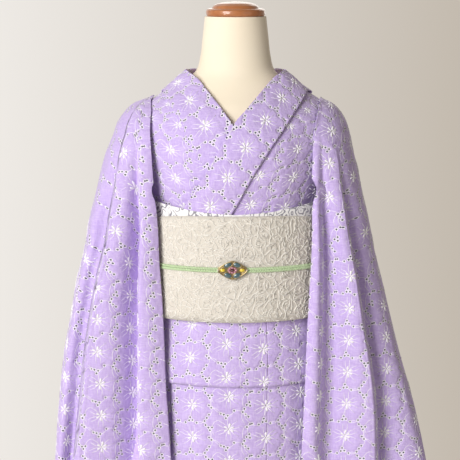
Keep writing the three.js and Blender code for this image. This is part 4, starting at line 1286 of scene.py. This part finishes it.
# Brooch: a gilt filigree frame that the braid threads through, set with four slate-teal
# petals, a rose ring round a garnet, and two yellow stones; tiny pearls close its ends.
BROOCH_LOW, BROOCH_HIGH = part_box("brooch")
BX, BZ = (BROOCH_LOW[0] + BROOCH_HIGH[0]) / 2, (BROOCH_LOW[2] + BROOCH_HIGH[2]) / 2
HALF_WIDE, HALF_HIGH = (BROOCH_HIGH[0] - BROOCH_LOW[0]) * 500, (BROOCH_HIGH[2] - BROOCH_LOW[2]) * 500
BACK = BROOCH_HIGH[1]
FACE = BACK - 0.002
PLATE = 0.93
PETAL_TURN = 0.35

gilt = grained("aged gilt", colour(128, 108, 74), colour(206, 186, 140), (900.0, 3.0), 0.3, 0.2, 0.0001,
               Metallic=1.0)


def oval(half_wide, half_high, count, x=0.0, z=0.0, turn=0.0):
    """Points round an oval on the brooch's face, in millimetres."""
    c, s = math.cos(turn), math.sin(turn)
    out = []
    for k in range(count):
        a = 2 * math.pi * k / count
        px, pz = half_wide * math.cos(a), half_high * math.sin(a)
        out.append((x + px * c + pz * s, z - px * s + pz * c))
    return out


def marquise(scale, count=64):
    """The brooch's pointed oval outline."""
    out = []
    for k, (x, z) in enumerate(oval(HALF_WIDE * scale, HALF_HIGH * scale, count)):
        pinch = 1 - 0.16 * abs(math.sin(4 * math.pi * k / count))
        out.append((x * pinch, z * pinch))
    return out


def lump(shape, x, z, width, height, depth, turn=0.0, segments=20):
    """A domed stone or bead: its place on the brooch and its size, in millimetres."""
    made = bmesh.ops.create_uvsphere(shape, u_segments=segments, v_segments=segments // 2, radius=0.5)
    c, s = math.cos(turn), math.sin(turn)
    for vert in made["verts"]:
        px, py, pz = vert.co.x * width, vert.co.y * depth, vert.co.z * height
        across, up = x + px * c + pz * s, z - px * s + pz * c
        vert.co = (BX + across * 0.001, FACE + py * 0.001, BZ + up * 0.001)


def wire(shape, points, radius, closed=True, sides=8):
    """A round wire along points on the brooch's face, in millimetres."""
    count = len(points)
    rings = []
    for k, (x, z) in enumerate(points):
        before = points[(k - 1) % count] if closed or k else points[k]
        after = points[(k + 1) % count] if closed or k < count - 1 else points[k]
        dx, dz = after[0] - before[0], after[1] - before[1]
        size = math.hypot(dx, dz) or 1
        ring = []
        for out, deep in oval(radius, radius, sides):
            across, up = x - dz / size * out, z + dx / size * out
            ring.append(shape.verts.new((BX + across * 0.001, FACE - deep * 0.001, BZ + up * 0.001)))
        rings.append(ring)
    tube(shape, rings, closed)


shape = bmesh.new()
plate_rings = []
for y in (FACE + 0.0002, BACK):
    plate_rings.append([shape.verts.new((BX + x * 0.001, y, BZ + z * 0.001)) for x, z in marquise(PLATE)])
tube(shape, plate_rings)
wire(shape, marquise(0.95), 0.75)
wire(shape, marquise(0.80), 0.4)
for sx in (-1, 1):
    for sz in (-1, 1):
        wire(shape, oval(6.3, 3.9, 28, sx * 7, sz * 8.0, PETAL_TURN * sx * sz), 0.55)
    wire(shape, oval(4.1, 2.9, 24, sx * 15.5), 0.5)
    for k in range(3):
        curl = []
        for t in np.linspace(0, 1, 12):
            a = math.radians(60 + 250 * t) * sx
            curl.append(polar(sx * (20.5 - 3.4 * k), 3.6 + 1.6 * k, 2.2 * (1 - 0.6 * t), a))
        wire(shape, curl, 0.35, closed=False)
        wire(shape, [(x, -z) for x, z in curl], 0.35, closed=False)
wire(shape, oval(5.6, 5.6, 32), 0.6)
for x, z in oval(6.9, 6.9, 16):
    lump(shape, x, z, 1.1, 1.1, 1.3, segments=8)
for sz in (-1, 1):
    lump(shape, 0, sz * 13.4, 3.0, 2.6, 2.4, segments=12)
    for sx in (-1, 1):
        lump(shape, sx * 3.2, sz * 12.6, 1.6, 1.6, 1.6, segments=8)
frame_mesh = fill(bpy.data.meshes.new("brooch_frame"), shape)
frame_mesh.set_sharp_from_angle(angle=EDGE_ANGLE)
piece("brooch_frame", frame_mesh, gilt, "bronze", "brooch")

# Stones: name, slot, pale and deep colour, and for each its place, size and turn
STONES = [
    ("petals", "slate", (92, 122, 128), (50, 76, 84),
     [(sx * 7, sz * 8.2, 12.4, 7.4, 5.0, PETAL_TURN * sx * sz) for sx in (-1, 1) for sz in (-1, 1)]),
    ("rose", "rose", (206, 146, 160), (160, 96, 114),
     [(x, z, 4.4, 3.9, 3.8) for x, z in oval(5.6, 3.9, 8)]),
    ("garnet", "rose", (110, 30, 44), (44, 10, 20), [(0, 0, 5.4, 4.6, 5.6)]),
    ("yellow", "amber", (246, 224, 70), (222, 186, 34), [(-15, 0, 8, 5.6, 4.6), (15, 0, 8, 5.6, 4.6)]),
    ("pearls", "bustle", (246, 240, 230), (224, 214, 200),
     [(-22.2, 0, 2.6, 2.6, 2.6), (22.2, 0, 2.6, 2.6, 2.6)]),
]
for name, slot, pale, deep, lumps in STONES:
    stone = grained(name + " stone", colour(*deep), colour(*pale), (420.0, 2.0), 0.12, 0.08,
                    Coat_Weight=1.0, Coat_Roughness=0.03, Specular_IOR_Level=0.8)
    shape = bmesh.new()
    for values in lumps:
        lump(shape, *values)
    piece("brooch_" + name, fill(bpy.data.meshes.new("brooch_" + name), shape), stone, slot)


# Studio: a plain pale floor, a large soft window light from the left and weak fill, and the
# camera at the photograph's angle, a little above the shoulders and tilted down.
FLOOR_RADIUS = 1.7
CHEST = Vector((0, 0, 1.0))
# Lights: name, place, size, power and tint
LIGHTS = [
    ("window", (-2.0, -2.75, 2.1), (1.6, 2.0), 122, (1.0, 0.985, 0.97)),
    ("fill", (2.4, -2.4, 1.3), (2.2, 2.2), 9, (1.0, 0.96, 0.95)),
    ("back_fill", (0.6, 2.8, 2.2), (2.0, 2.0), 16, (1.0, 0.98, 0.96)),
]
PIXELS = 460
FOCAL_PIXELS = 1383
TILT_DOWN = 10.55

floor_mesh = bpy.data.meshes.new("floor")
shape = bmesh.new()
bmesh.ops.create_circle(shape, cap_ends=True, segments=96, radius=FLOOR_RADIUS)
shape.to_mesh(floor_mesh)
shape.free()
floor_mesh.materials.append(
    grained("pale floor", colour(226, 222, 216), colour(232, 229, 224), (6.0, 3.0), 0.7)
)
linked("floor", floor_mesh)

for name, place, size, power, tint in LIGHTS:
    light = bpy.data.lights.new(name, "AREA")
    light.shape = "RECTANGLE"
    light.size, light.size_y = size
    light.energy = power
    light.color = tint
    lamp = linked(name, light)
    lamp.location = place
    lamp.rotation_euler = (CHEST - Vector(place)).to_track_quat("-Z", "Y").to_euler()

# The room round the stand: pale walls, brighter on the window side, dim behind the viewer
world = bpy.data.worlds.new("room")
bpy.context.scene.world = world
world.use_nodes = True
room = Nodes(world.node_tree)
split = room.node("ShaderNodeSeparateXYZ", None, {0: room.node("ShaderNodeTexCoord").outputs["Generated"]})
tone = room.mix(
    room.step(split.outputs[0], -0.18, 0.16, "LINEAR"), colour(240, 236, 231), colour(196, 187, 175)
)
dim = room.step(split.outputs[1], 0.1, 0.85, "LINEAR", 0.33)
walls = room.first("ShaderNodeBackground", {"Color": tone, "Strength": dim})
room.node("ShaderNodeOutputWorld", None, {"Surface": walls})
bpy.context.scene.view_settings.view_transform = "Standard"

camera_data = bpy.data.cameras.new("camera")
camera_data.sensor_width = 36
camera_data.lens = FOCAL_PIXELS / PIXELS * camera_data.sensor_width
camera = linked("camera", camera_data)
camera.location = (-0.00875, -2.2, 1.5)
camera.rotation_euler = (math.radians(90 - TILT_DOWN), 0, 0)
bpy.context.scene.camera = camera
